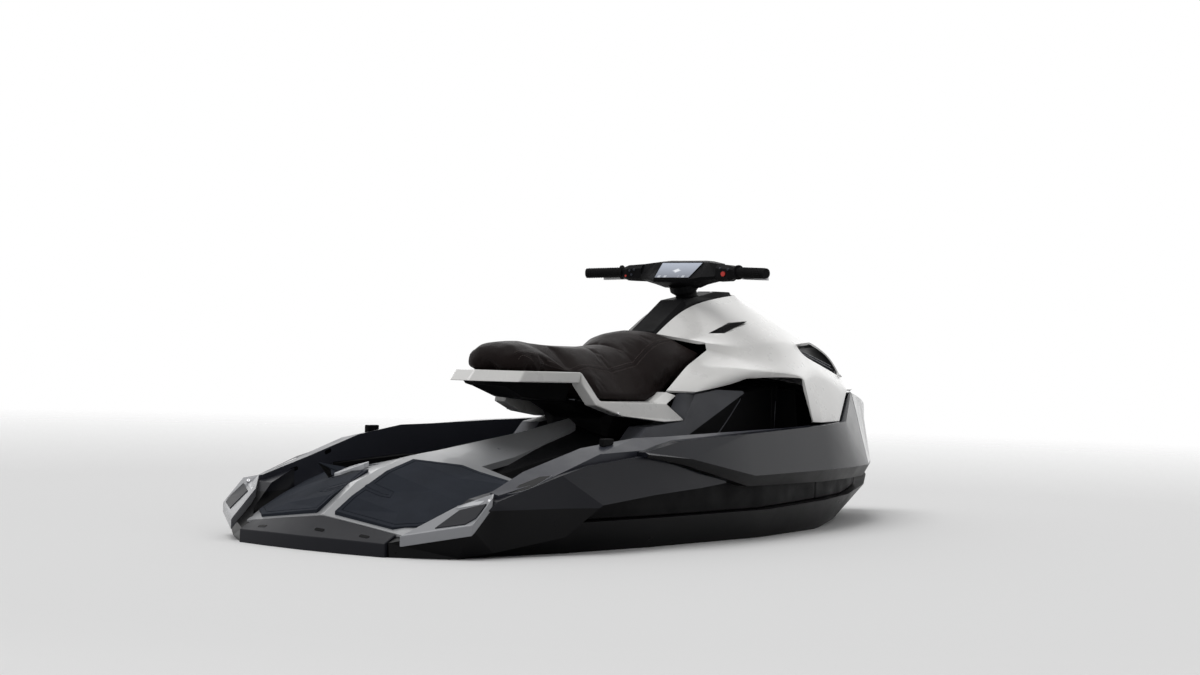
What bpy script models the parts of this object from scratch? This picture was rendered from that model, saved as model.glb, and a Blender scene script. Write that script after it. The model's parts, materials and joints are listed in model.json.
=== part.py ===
"""Electric personal watercraft, two seats, faceted hood, jet pump drive.

Frame: +X to the bow, +Y to port, +Z up, origin amidships on the waterline.
Body surfaces are tables of shares: x of HALF_LENGTH, y of HALF_BEAM, z of HEIGHT.
Fittings have sizes of their own.
"""
import math

import bmesh
import bpy
from mathutils import Matrix, Vector
from mathutils.bvhtree import BVHTree
from mathutils.geometry import tessellate_polygon

# Overall sizes in metres
HALF_LENGTH = 1.45
HALF_BEAM = 0.57
HEIGHT = 0.76

# Joints between pieces
SEAM = 0.0003
HOOD_SEAM = 0.002
PANEL = 0.018
DECK_SHELL = 0.018
DECK_INSET = 0.006
SEAT_TO_COWL = 0.004
MAT = 0.008
REACH_IN = 0.10

# Drive
BATTERY_LENGTH = 1.05
BATTERY_HALF_WIDTH = 0.20
BATTERY_HEIGHT = 0.15
BATTERY_AFT_X = -0.62
BATTERY_BOTTOM_Z = -0.085
BAY_WALL = 0.012
PUMP_RADIUS = 0.070
PUMP_WALL = 0.008
PUMP_AXIS_Z = -0.075
PUMP_INSET = 0.120
PUMP_LENGTH = 0.230
PUMP_AFT_X = -HALF_LENGTH + PUMP_INSET
PUMP_FORE_X = PUMP_AFT_X + PUMP_LENGTH
TUNNEL_CLEARANCE = 0.0005
IMPELLER_HUB_RADIUS = 0.024
IMPELLER_TIP_CLEARANCE = 0.005
IMPELLER_LENGTH = 0.060
IMPELLER_INSET = 0.050
IMPELLER_X = PUMP_FORE_X - IMPELLER_INSET
BLADE_COUNT = 4
BLADE_THICKNESS = 0.005
BLADE_PITCH_DEG = 52
SHAFT_RADIUS = 0.012
BEARING_LENGTH = 0.080
STATOR_INSET = 0.030
STATOR_AFT_X = PUMP_AFT_X + STATOR_INSET
STATOR_LENGTH = 0.080
STATOR_VANE = 0.005
NOZZLE_OFFSET = 0.032
NOZZLE_PIVOT_X = PUMP_AFT_X - NOZZLE_OFFSET
NOZZLE_FORE = 0.022
NOZZLE_AFT = 0.085
NOZZLE_INLET_RADIUS = 0.060
NOZZLE_OUTLET_RADIUS = 0.050
NOZZLE_WALL = 0.006
NOZZLE_PIN_RADIUS = 0.008
NOZZLE_EAR = 0.008
NOZZLE_EAR_HALF_WIDTH = 0.020
NOZZLE_EAR_GAP = 0.0015
NOZZLE_BAY_HALF_WIDTH = 0.135
GRATE_LENGTH = 0.30
GRATE_WIDTH = 0.16
GRATE_BAR = 0.010
GRATE_BARS = 4
GRATE_Z = -0.158
RIDE_PLATE_THICKNESS = 0.008
RIDE_PLATE_GAP = 0.002

# Steering
COLUMN_RAKE_DEG = 25
COLUMN_X_SHARE = 0.300 / 1.45
COLUMN_X = COLUMN_X_SHARE * HALF_LENGTH
COLUMN_SINK = 0.005
COLUMN_BASE_Z = HEIGHT - COLUMN_SINK
COLUMN_RADIUS = 0.036
COLUMN_SOCKET = 0.030
COLUMN_CLEARANCE = 0.001
COLUMN_HEIGHT = 0.050
COLLAR_RADIUS = 0.050
BAR_RADIUS = 0.011
BAR_SETBACK = 0.028
BAR_RISE = 0.081
BAR_CENTRE_X = COLUMN_X - BAR_SETBACK
BAR_CENTRE_Z = COLUMN_BASE_Z + BAR_RISE
BAR_BEND_Y = 0.150
BAR_SWEEP = 0.051
BAR_DROP = 0.008
BAR_END_X = BAR_CENTRE_X - BAR_SWEEP
BAR_END_Z = BAR_CENTRE_Z - BAR_DROP
GRIP_RADIUS = 0.0165
GRIP_INNER_Y = 0.238
GRIP_OUTER_Y = 0.362
GRIP_FLANGE_RADIUS = 0.024
GRIP_FLANGE_WIDTH = 0.006
GRIP_BORE_CLEARANCE = 0.0003
CONSOLE_HALF_WIDTH = 0.150
CONSOLE_SETBACK = 0.102
CONSOLE_RISE = 0.024
CONSOLE_AFT_X = COLUMN_X - CONSOLE_SETBACK
CONSOLE_DEPTH = 0.130
CONSOLE_LOW_Z = COLUMN_BASE_Z + CONSOLE_RISE
CONSOLE_HEIGHT = 0.096
DISPLAY_TOP_HALF_WIDTH = 0.082
DISPLAY_LOW_HALF_WIDTH = 0.070
DISPLAY_TOP_IN = 0.0742
DISPLAY_TOP_UP = 0.0861
DISPLAY_LOW_IN = 0.0090
DISPLAY_LOW_UP = 0.0320
DISPLAY_TOP_X = CONSOLE_AFT_X + DISPLAY_TOP_IN
DISPLAY_TOP_Z = CONSOLE_LOW_Z + DISPLAY_TOP_UP
DISPLAY_LOW_X = CONSOLE_AFT_X + DISPLAY_LOW_IN
DISPLAY_LOW_Z = CONSOLE_LOW_Z + DISPLAY_LOW_UP
DISPLAY_THICKNESS = 0.006
DISPLAY_PROUD = 0.0015
POD_INNER_Y = 0.1505
POD_OUTER_Y = 0.2255
POD_DEPTH = 0.060
POD_HEIGHT = 0.050
LEVER_REACH = 0.052
LEVER_THICKNESS = 0.009
LEVER_TIP_Y = 0.330
BUTTON_RADIUS = 0.008
BUTTON_HEIGHT = 0.006
BUTTON_DROP = 0.008

PORT = 1
STARBOARD = -1
SIDES = {"port": PORT, "starboard": STARBOARD}

GLOSS_BLACK = (0.012, 0.012, 0.014, 0.22, 0.0)
SATIN_BLACK = (0.022, 0.022, 0.024, 0.50, 0.0)
BUMPER_DARK = (0.045, 0.045, 0.055, 0.25, 0.0)
SIDE_GREY = (0.085, 0.080, 0.090, 0.40, 0.0)
STRIP_GREY = (0.190, 0.195, 0.220, 0.40, 0.0)
SILVER = (0.560, 0.560, 0.570, 0.25, 0.0)
WHITE = (0.800, 0.795, 0.780, 0.28, 0.0)
VINYL = (0.035, 0.025, 0.025, 0.55, 0.0)
MAT_BLUE = (0.050, 0.060, 0.075, 0.85, 0.0)
METAL = (0.450, 0.450, 0.460, 0.35, 1.0)
SCREEN = (0.110, 0.130, 0.160, 0.12, 0.0)
RED = (0.600, 0.030, 0.020, 0.40, 0.0)


def clear_scene():
    for item in list(bpy.data.objects):
        bpy.data.objects.remove(item, do_unlink=True)


def material(name, finish):
    made = bpy.data.materials.get(name)
    if made:
        return made
    red, green, blue, roughness, metallic = finish
    made = bpy.data.materials.new(name)
    made.use_nodes = True
    shader = made.node_tree.nodes["Principled BSDF"]
    shader.inputs["Base Color"].default_value = (red, green, blue, 1)
    shader.inputs["Roughness"].default_value = roughness
    shader.inputs["Metallic"].default_value = metallic
    return made


def place(bm, name, finish, origin=(0, 0, 0), parent=None, smooth=False):
    """One named object from a bmesh in world space, its origin at the given point."""
    bmesh.ops.triangulate(bm, faces=bm.faces[:])
    bmesh.ops.recalc_face_normals(bm, faces=bm.faces[:])
    base = Vector(origin)
    bmesh.ops.translate(bm, vec=-base, verts=bm.verts[:])
    mesh = bpy.data.meshes.new(name)
    bm.to_mesh(mesh)
    bm.free()
    mesh.materials.append(material(name, finish))
    item = bpy.data.objects.new(name, mesh)
    bpy.context.collection.objects.link(item)
    if parent:
        item.parent = parent
        item.location = base - parent.location
    else:
        item.location = base
    if smooth:
        mesh.shade_smooth()
        mesh.set_sharp_from_angle(angle=math.radians(35))
    return item


def at(shares):
    """World point from shares of the half length, half beam and height."""
    x_share, y_share, z_share = shares
    return Vector((x_share * HALF_LENGTH, y_share * HALF_BEAM, z_share * HEIGHT))


def flipped(points, side):
    return [Vector((p[0], p[1] * side, p[2])) for p in points]


def loft(rings, hollow_ends=False):
    """Closed solid through rings of equal count, ends capped, also where an end's outline is hollow."""
    bm = bmesh.new()
    loops = [[bm.verts.new(p) for p in ring] for ring in rings]
    count = len(loops[0])
    for first, second in zip(loops, loops[1:]):
        for i in range(count):
            j = (i + 1) % count
            bm.faces.new((first[i], first[j], second[j], second[i]))
    for loop in (loops[0], loops[-1][::-1]):
        if hollow_ends:
            for a, b, c in tessellate_polygon([[vert.co for vert in loop]]):
                bm.faces.new((loop[a], loop[b], loop[c]))
        else:
            bm.faces.new(loop)
    return bm


def whole_ring(half):
    """Full ring from a half that starts and ends on the centreline."""
    return list(half) + [Vector((p[0], -p[1], p[2])) for p in half[-2:0:-1]]


SHIFT_STEPS = 60
LEAST_SHARE = 0.10


def evaluated_bmesh(item):
    bm = bmesh.new()
    bm.from_mesh(item.data)
    bm.transform(item.matrix_world)
    return bm


def largest_body(bm):
    """Keep the largest connected body, drop the offcuts of a cut."""
    left = set(bm.verts)
    bodies = []
    while left:
        stack = [left.pop()]
        body = set(stack)
        while stack:
            vert = stack.pop()
            for edge in vert.link_edges:
                other = edge.other_vert(vert)
                if other in left:
                    left.remove(other)
                    body.add(other)
                    stack.append(other)
        bodies.append(body)

    def span(body):
        xs = [v.co.x for v in body]
        ys = [v.co.y for v in body]
        zs = [v.co.z for v in body]
        return (max(xs) - min(xs)) + (max(ys) - min(ys)) + (max(zs) - min(zs))

    bodies.sort(key=span, reverse=True)
    for body in bodies[1:]:
        bmesh.ops.delete(bm, geom=list(body), context="VERTS")


def boolean(target, cutter, operation):
    modifier = target.modifiers.new("cut", "BOOLEAN")
    modifier.operation = operation
    modifier.solver = "EXACT"
    modifier.use_self = True
    modifier.object = cutter
    bpy.context.view_layer.update()
    graph = bpy.context.evaluated_depsgraph_get()
    mesh = bpy.data.meshes.new_from_object(target.evaluated_get(graph), depsgraph=graph)
    target.modifiers.remove(modifier)
    old = target.data
    target.data = mesh
    bpy.data.meshes.remove(old)


def outward_shift(vert, gap):
    """Shortest move that takes every face round a corner out by the gap."""
    normals = [face.normal for face in vert.link_faces if face.calc_area() > gap * gap]
    if not normals:
        return vert.normal * gap
    run = normals[0].copy()
    for _ in range(SHIFT_STEPS):
        worst = min(normals, key=run.dot)
        away = run - worst
        if away.length < LEAST_SHARE * LEAST_SHARE:
            break
        run -= away * min(max(run.dot(away) / away.length_squared, 0), 1)
    return run * gap / max(run.length, LEAST_SHARE) ** 2


def grown_copy(item, gap):
    bm = evaluated_bmesh(item)
    bm.normal_update()
    shifts = [outward_shift(vert, gap) for vert in bm.verts]
    for vert, shift in zip(bm.verts, shifts):
        vert.co += shift
    mesh = bpy.data.meshes.new("cutter")
    bm.to_mesh(mesh)
    bm.free()
    cutter = bpy.data.objects.new("cutter", mesh)
    bpy.context.collection.objects.link(cutter)
    return cutter


def carve(item, neighbours, gap=SEAM):
    """Cut each neighbour, grown by the gap, out of the item."""
    for neighbour in neighbours:
        cutter = grown_copy(neighbour, gap)
        boolean(item, cutter, "DIFFERENCE")
        bpy.data.objects.remove(cutter, do_unlink=True)
    bm = bmesh.new()
    bm.from_mesh(item.data)
    bmesh.ops.remove_doubles(bm, verts=bm.verts[:], dist=SEAM / 10)
    bmesh.ops.dissolve_degenerate(bm, dist=SEAM / 10, edges=bm.edges[:])
    loose = [edge for edge in bm.edges if not edge.link_faces]
    bmesh.ops.delete(bm, geom=loose, context="EDGES")
    largest_body(bm)
    bmesh.ops.triangulate(bm, faces=bm.faces[:])
    bm.to_mesh(item.data)
    bm.free()
    return item


def join(item, others):
    """Boolean union of touching or overlapping bodies into one."""
    for other in others:
        boolean(item, other, "UNION")
        bpy.data.objects.remove(other, do_unlink=True)
    return item


def slab(points, shift):
    """Plate between an outline and the same outline shifted, both caps cut alike."""
    bm = bmesh.new()
    shift = Vector(shift)
    along = shift.normalized()
    flat = [Vector(p) - along * along.dot(Vector(p)) for p in points]
    first = [bm.verts.new(p) for p in points]
    second = [bm.verts.new(Vector(p) + shift) for p in points]
    count = len(points)
    for i in range(count):
        j = (i + 1) % count
        bm.faces.new((first[i], first[j], second[j], second[i]))
    for a, b, c in tessellate_polygon([flat]):
        bm.faces.new((first[c], first[b], first[a]))
        bm.faces.new((second[a], second[b], second[c]))
    return bm


def turned(profile, axis_start, axis_end, steps=20):
    """Solid of revolution: profile rows are share along the axis, radius."""
    start = Vector(axis_start)
    run = Vector(axis_end) - start
    along = run.normalized()
    side = along.orthogonal().normalized()
    up = along.cross(side)
    bm = bmesh.new()
    rings = []
    for share, radius in profile:
        centre = start + run * share
        ring = []
        for k in range(steps):
            angle = math.tau * k / steps
            ring.append(bm.verts.new(centre + (side * math.cos(angle) + up * math.sin(angle)) * radius))
        rings.append(ring)
    closed = profile[0] == profile[-1]
    for first, second in zip(rings, rings[1:]):
        for i in range(steps):
            j = (i + 1) % steps
            bm.faces.new((first[i], first[j], second[j], second[i]))
    if not closed:
        bm.faces.new(rings[0][::-1])
        bm.faces.new(rings[-1])
    return bm


def ring_tube(profile, axis_start, axis_end, steps=20):
    """Hollow turned piece: the profile is a closed loop of share, radius rows."""
    start = Vector(axis_start)
    run = Vector(axis_end) - start
    along = run.normalized()
    side = along.orthogonal().normalized()
    up = along.cross(side)
    bm = bmesh.new()
    rings = []
    for share, radius in profile:
        centre = start + run * share
        ring = []
        for k in range(steps):
            angle = math.tau * k / steps
            ring.append(bm.verts.new(centre + (side * math.cos(angle) + up * math.sin(angle)) * radius))
        rings.append(ring)
    for first, second in zip(rings, rings[1:] + rings[:1]):
        for i in range(steps):
            j = (i + 1) % steps
            bm.faces.new((first[i], first[j], second[j], second[i]))
    return bm


def box(low, high):
    bm = bmesh.new()
    bmesh.ops.create_cube(bm, size=1)
    low = Vector(low)
    high = Vector(high)
    for vert in bm.verts:
        vert.co = Vector([low[i] + (vert.co[i] + 0.5) * (high[i] - low[i]) for i in range(3)])
    return bm


# Hull sections: x, keel z, chine y, chine z, sheer y
HULL_SHARES = [
    (-0.983, -0.215, 0.500, -0.095, 0.510),
    (-0.900, -0.230, 0.680, -0.080, 0.720),
    (-0.650, -0.247, 0.803, -0.068, 0.880),
    (-0.400, -0.265, 0.850, -0.055, 0.930),
    (0.000, -0.270, 0.850, -0.040, 0.940),
    (0.310, -0.260, 0.740, -0.010, 0.825),
    (0.500, -0.225, 0.595, 0.022, 0.694),
    (0.720, -0.121, 0.362, 0.065, 0.480),
    (0.840, -0.005, 0.210, 0.105, 0.320),
    (0.940, 0.165, 0.060, 0.190, 0.130),
]

# Level top of the hull, where the deck lies on it: x, z
HULL_TOP_SHARES = [
    (-0.983, 0.020),
    (-0.650, 0.112),
    (0.000, 0.118),
    (0.500, 0.138),
    (0.720, 0.162),
    (0.940, 0.225),
]


def interpolated(rows, x_share, column):
    """Value of a table's column between its rows, the first column being x."""
    for low, high in zip(rows, rows[1:]):
        if x_share <= high[0] or high is rows[-1]:
            part = (x_share - low[0]) / (high[0] - low[0])
            return low[column] + (high[column] - low[column]) * part


def hull_top_share(x_share):
    return interpolated(HULL_TOP_SHARES, x_share, 1)


def pump_point(x, z=PUMP_AXIS_Z):
    return Vector((x, 0, z))


def hull():
    rings = []
    for x, keel, chine_y, chine_z, sheer_y in HULL_SHARES:
        top = hull_top_share(x)
        half = [
            at((x, 0, keel)),
            at((x, chine_y, chine_z)),
            at((x, sheer_y, top)),
            at((x, 0, top)),
        ]
        rings.append(whole_ring(half))
    shell = place(loft(rings), "hull", GLOSS_BLACK)
    bay_low = (BATTERY_AFT_X, -BATTERY_HALF_WIDTH, BATTERY_BOTTOM_Z)
    bay_high = (
        BATTERY_AFT_X + BATTERY_LENGTH,
        BATTERY_HALF_WIDTH,
        HEIGHT,
    )
    bay = place(box(bay_low, bay_high), "cutter", GLOSS_BLACK)
    boolean(shell, bay, "DIFFERENCE")
    bpy.data.objects.remove(bay, do_unlink=True)
    tunnel_radius = PUMP_RADIUS + PUMP_WALL + TUNNEL_CLEARANCE
    bearing_fore = PUMP_FORE_X + BEARING_LENGTH
    tunnel = [(0, tunnel_radius), (1, tunnel_radius)]
    bore_radius = SHAFT_RADIUS + TUNNEL_CLEARANCE
    bore = [(0, bore_radius), (1, bore_radius)]
    bay_aft = -HALF_LENGTH - REACH_IN
    cutters = [
        turned(tunnel, pump_point(bay_aft), pump_point(PUMP_FORE_X), 24),
        turned(bore, pump_point(PUMP_FORE_X - REACH_IN), pump_point(bearing_fore), 12),
        box(
            (bay_aft, -NOZZLE_BAY_HALF_WIDTH, -HEIGHT),
            (PUMP_AFT_X, NOZZLE_BAY_HALF_WIDTH, PUMP_AXIS_Z + tunnel_radius),
        ),
        box(
            (bay_aft, -tunnel_radius - RIDE_PLATE_GAP, -HEIGHT),
            (PUMP_FORE_X, tunnel_radius + RIDE_PLATE_GAP, PUMP_AXIS_Z),
        ),
        box(
            (PUMP_FORE_X - REACH_IN / 4, -GRATE_WIDTH / 2, -HEIGHT),
            (PUMP_FORE_X + GRATE_LENGTH, GRATE_WIDTH / 2, PUMP_AXIS_Z - SHAFT_RADIUS),
        ),
    ]
    for made in cutters:
        cutter = place(made, "cutter", GLOSS_BLACK)
        boolean(shell, cutter, "DIFFERENCE")
        bpy.data.objects.remove(cutter, do_unlink=True)
    carve(shell, [])
    return shell


def battery():
    low = (BATTERY_AFT_X + BAY_WALL, -BATTERY_HALF_WIDTH + BAY_WALL, BATTERY_BOTTOM_Z + SEAM)
    high = (
        BATTERY_AFT_X + BATTERY_LENGTH - BAY_WALL,
        BATTERY_HALF_WIDTH - BAY_WALL,
        BATTERY_BOTTOM_Z + BATTERY_HEIGHT,
    )
    return place(box(low, high), "battery_motor_block", SATIN_BLACK)


# Rear deck surface: x, crest z, middle z, edge y, edge z
RAMP_MIDDLE_SHARE = 0.36
RAMP_SHARES = [
    (-0.966, 0.122, 0.090, 0.510, 0.076),
    (-0.876, 0.235, 0.165, 0.640, 0.110),
    (-0.820, 0.275, 0.205, 0.690, 0.140),
    (-0.745, 0.315, 0.245, 0.710, 0.185),
    (-0.676, 0.335, 0.270, 0.720, 0.224),
]

# Footwell and bow block: x, rail y, rail z, well outer y, floor z, well inner y, shoulder y, shoulder z, top z
WELL_SHARES = [
    (-0.650, 0.800, 0.265, 0.730, 0.160, 0.330, 0.300, 0.240, 0.290),
    (-0.415, 0.860, 0.290, 0.750, 0.160, 0.330, 0.280, 0.320, 0.365),
    (-0.207, 0.870, 0.290, 0.750, 0.160, 0.380, 0.340, 0.350, 0.420),
    (0.000, 0.870, 0.300, 0.750, 0.160, 0.430, 0.420, 0.430, 0.450),
    (0.138, 0.820, 0.305, 0.710, 0.160, 0.440, 0.430, 0.570, 0.600),
    (0.317, 0.745, 0.315, 0.660, 0.160, 0.440, 0.430, 0.610, 0.640),
    (0.331, 0.740, 0.315, 0.570, 0.600, 0.440, 0.430, 0.630, 0.660),
    (0.500, 0.640, 0.330, 0.490, 0.580, 0.380, 0.330, 0.620, 0.650),
    (0.640, 0.500, 0.360, 0.380, 0.545, 0.260, 0.180, 0.600, 0.630),
    (0.720, 0.410, 0.370, 0.320, 0.520, 0.200, 0.140, 0.555, 0.570),
]
WELL_ROWS = 6


# Under the ramp, between its crest and its middle line: y share of that line, share of the crest's rise
UNDER_RAMP_SHARES = [
    (0.8, 0.2),
    (0.5, 0.5),
]


def well_ring(row, x_share):
    """Section of the footwells or the bow block, from one row of the table."""
    _, rail_y, rail_z, outer_y, floor, inner_y, shoulder_y, shoulder_z, top = row
    low = hull_top_share(x_share) + SEAM / HEIGHT
    half = [
        at((x_share, 0, low)),
        at((x_share, rail_y, low)),
        at((x_share, rail_y, rail_z)),
        at((x_share, outer_y, rail_z)),
        at((x_share, outer_y, floor)),
        at((x_share, inner_y, floor)),
        at((x_share, shoulder_y, shoulder_z)),
        at((x_share, 0, top)),
    ]
    return whole_ring(half)


def ramp_rings():
    """Sections of the black moulding under the rear deck."""
    rings = []
    drop = (DECK_SHELL + SEAM) / HEIGHT
    for x, crest, middle, edge_y, edge in RAMP_SHARES:
        low = hull_top_share(x) + SEAM / HEIGHT
        edge_y -= DECK_INSET / HALF_BEAM
        top = [(edge_y, edge), ((edge_y + RAMP_MIDDLE_SHARE) / 2, (edge + middle) / 2)]
        top.append((RAMP_MIDDLE_SHARE, middle))
        for y_part, rise in UNDER_RAMP_SHARES:
            top.append((RAMP_MIDDLE_SHARE * y_part, middle + (crest - middle) * rise))
        top.append((0, crest))
        half = [at((x, 0, low)), at((x, edge_y, low))]
        half += [at((x, y, max(z - drop, low + drop))) for y, z in top]
        rings.append(whole_ring(half))
    return rings


def well_rings(rows):
    return [well_ring(row, row[0]) for row in rows]


def inner_deck():
    """Ramp base, footwells and bow block as one body, to cut other pieces by."""
    return place(loft(ramp_rings() + well_rings(WELL_SHARES)), "cutter", SATIN_BLACK)


def ramp_base():
    """Black moulding under the rear deck."""
    row = WELL_SHARES[0]
    rings = ramp_rings() + [well_ring(row, row[0] - SEAM / HALF_LENGTH)]
    return place(loft(rings, True), "ramp_base", SATIN_BLACK)


def footwell_tub():
    """Both footwells and the tunnel between them."""
    return place(loft(well_rings(WELL_SHARES[:WELL_ROWS]), True), "footwell_tub", SATIN_BLACK)


def bow_block():
    """Closed bow forward of the footwells, under the hood."""
    row = WELL_SHARES[WELL_ROWS - 1]
    rings = [well_ring(row, row[0] + SEAM / HALF_LENGTH)] + well_rings(WELL_SHARES[WELL_ROWS:])
    return place(loft(rings, True), "bow_block", SATIN_BLACK)


# Silver hump forward of the ramp: x, crest z, half width, edge z
HUMP_SHARES = [
    (-0.650, 0.340, 0.300, 0.292),
    (-0.510, 0.375, 0.215, 0.318),
    (-0.370, 0.410, 0.125, 0.360),
    (-0.225, 0.460, 0.050, 0.435),
]


HUMP_SHOULDER_SHARE = 0.60
HUMP_RISE_SHARE = 0.45


def rear_deck():
    """Light shell over the ramp and the hump, with the mats let on to it."""
    drop = DECK_SHELL / HEIGHT
    rings = []
    for x, crest, middle, edge_y, edge in RAMP_SHARES:
        top = [(0, crest), (RAMP_MIDDLE_SHARE, middle), (edge_y, edge)]
        half = [at((x, y, z)) for y, z in top]
        half += [at((x, y, z - drop)) for y, z in reversed(top)]
        rings.append(whole_ring(half))
    for x, crest, half_width, edge in HUMP_SHARES:
        top = [(0, crest), (half_width * HUMP_SHOULDER_SHARE, edge + (crest - edge) * HUMP_RISE_SHARE), (half_width, edge)]
        half = [at((x, y, z)) for y, z in top]
        half += [at((x, y, z - drop)) for y, z in reversed(top)]
        rings.append(whole_ring(half))
    return place(loft(rings), "rear_deck", SILVER)


# Gunwale strip: x, outer top y, z, inner top y, z
GUNWALE_SHARES = [
    (-0.835, 0.800, 0.219, 0.750, 0.226),
    (-0.724, 0.855, 0.268, 0.715, 0.293),
    (-0.565, 0.868, 0.357, 0.745, 0.374),
    (-0.414, 0.895, 0.370, 0.790, 0.410),
    (-0.310, 0.885, 0.387, 0.798, 0.414),
    (-0.090, 0.895, 0.418, 0.805, 0.428),
    (0.180, 0.825, 0.432, 0.760, 0.440),
    (0.317, 0.760, 0.440, 0.695, 0.447),
]


GUNWALE_LAP_SHARE = 0.06


def side_floor_share(x_share):
    """Height that a gunwale stands on: ramp edge, then footwell rail."""
    rows = [(row[0], row[4]) for row in RAMP_SHARES] + [(row[0], row[2]) for row in WELL_SHARES]
    return interpolated(rows, x_share, 1)


def gunwale(name, side, core):
    rings = []
    for x, outer_y, outer_z, inner_y, inner_z in GUNWALE_SHARES:
        foot = side_floor_share(x) - SEAM / HEIGHT
        ring = [
            at((x, inner_y, inner_z)),
            at((x, outer_y, outer_z)),
            at((x, outer_y, foot - GUNWALE_LAP_SHARE)),
            at((x, inner_y, foot - GUNWALE_LAP_SHARE)),
        ]
        rings.append(flipped(ring, side))
    return carve(place(loft(rings), "gunwale_" + name, STRIP_GREY), core)


# Side bumper: x, inner y, top y, top z, ridge y, ridge z, return y, return z
BUMPER_SHARES = [
    (-0.455, 0.880, 0.940, 0.363, 0.960, 0.355, 0.950, 0.345),
    (-0.324, 0.860, 0.930, 0.402, 0.991, 0.336, 0.955, 0.310),
    (-0.090, 0.860, 0.939, 0.424, 1.000, 0.261, 0.955, 0.217),
    (0.310, 0.740, 0.798, 0.449, 0.860, 0.263, 0.815, 0.210),
    (0.483, 0.630, 0.693, 0.463, 0.754, 0.263, 0.710, 0.210),
    (0.638, 0.480, 0.490, 0.590, 0.628, 0.263, 0.588, 0.210),
]


def side_bumper(name, side, core):
    rings = []
    for x, inner_y, top_y, top_z, ridge_y, ridge_z, return_y, return_z in BUMPER_SHARES:
        ring = [
            at((x, inner_y, top_z)),
            at((x, top_y, top_z)),
            at((x, ridge_y, ridge_z)),
            at((x, return_y, return_z)),
            at((x, inner_y, return_z)),
        ]
        rings.append(flipped(ring, side))
    return carve(place(loft(rings), "side_bumper_" + name, BUMPER_DARK), core)


# Bow bumper: x, centre top z, top y, top z, ridge y, ridge z, return y, return z
BOW_SHARES = [
    (0.641, 0.560, 0.488, 0.590, 0.625, 0.263, 0.585, 0.210),
    (0.759, 0.575, 0.350, 0.575, 0.470, 0.263, 0.430, 0.215),
    (0.883, 0.560, 0.210, 0.553, 0.285, 0.268, 0.255, 0.230),
    (0.970, 0.545, 0.100, 0.535, 0.120, 0.278, 0.100, 0.255),
    (1.000, 0.520, 0.050, 0.515, 0.060, 0.295, 0.050, 0.283),
]


def bow_bumper(core):
    rings = []
    for x, centre, top_y, top_z, ridge_y, ridge_z, return_y, return_z in BOW_SHARES:
        half = [
            at((x, 0, centre)),
            at((x, top_y, top_z)),
            at((x, ridge_y, ridge_z)),
            at((x, return_y, return_z)),
            at((x, 0, return_z)),
        ]
        rings.append(whole_ring(half))
    return carve(place(loft(rings), "bow_bumper", BUMPER_DARK), core)


# Aft side panel: x, inner y, top y, top z, low y, low z
AFT_PANEL_SHARES = [
    (-0.990, 0.420, 0.480, 0.050, 0.490, -0.010),
    (-0.915, 0.600, 0.810, 0.112, 0.740, 0.004),
    (-0.850, 0.650, 0.830, 0.200, 0.810, 0.020),
    (-0.690, 0.780, 0.885, 0.285, 0.915, 0.067),
    (-0.610, 0.790, 0.890, 0.318, 0.982, 0.178),
    (-0.440, 0.820, 0.930, 0.350, 0.982, 0.205),
    (-0.276, 0.850, 0.950, 0.275, 0.975, 0.222),
    (-0.180, 0.880, 0.960, 0.243, 0.965, 0.236),
]


def aft_panel(name, side, core):
    rings = []
    for x, inner_y, top_y, top_z, low_y, low_z in AFT_PANEL_SHARES:
        ring = [
            at((x, inner_y, top_z)),
            at((x, top_y, top_z)),
            at((x, low_y, low_z)),
            at((x, inner_y, low_z)),
        ]
        rings.append(flipped(ring, side))
    return carve(place(loft(rings), "aft_panel_" + name, SIDE_GREY), core)


# Stern corner plate outline: x, y, z
CORNER_SHARES = [
    (-0.992, 0.551, 0.078),
    (-0.915, 0.820, 0.124),
    (-0.862, 0.823, 0.214),
    (-0.836, 0.775, 0.226),
    (-0.887, 0.663, 0.180),
]
CORNER_DEPTH = 0.030


def corner_plate(name, side, core):
    points = flipped([at(row) for row in CORNER_SHARES], side)
    plate = place(slab(points, (0, 0, -CORNER_DEPTH)), "corner_plate_" + name, SILVER)
    return carve(plate, core)


# Stern rim: y, aft x, top edge x, top z, lip z, low z
RIM_SHARES = [
    (0.000, -1.015, -0.967, 0.120, 0.050, -0.003),
    (0.250, -1.010, -0.967, 0.100, 0.050, -0.003),
    (0.474, -0.998, -0.967, 0.078, 0.047, -0.003),
]


def stern_bumper(core):
    def ring(row, side):
        y, aft_x, top_x, top_z, lip_z, low_z = row
        points = [
            at((top_x, y, top_z)),
            at((aft_x, y, lip_z)),
            at((aft_x, y, low_z)),
            at((top_x, y, low_z)),
        ]
        return flipped(points, side)

    rings = [ring(row, PORT) for row in reversed(RIM_SHARES)]
    rings += [ring(row, STARBOARD) for row in RIM_SHARES[1:]]
    return carve(place(loft(rings), "stern_bumper", SIDE_GREY), core)


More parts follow.
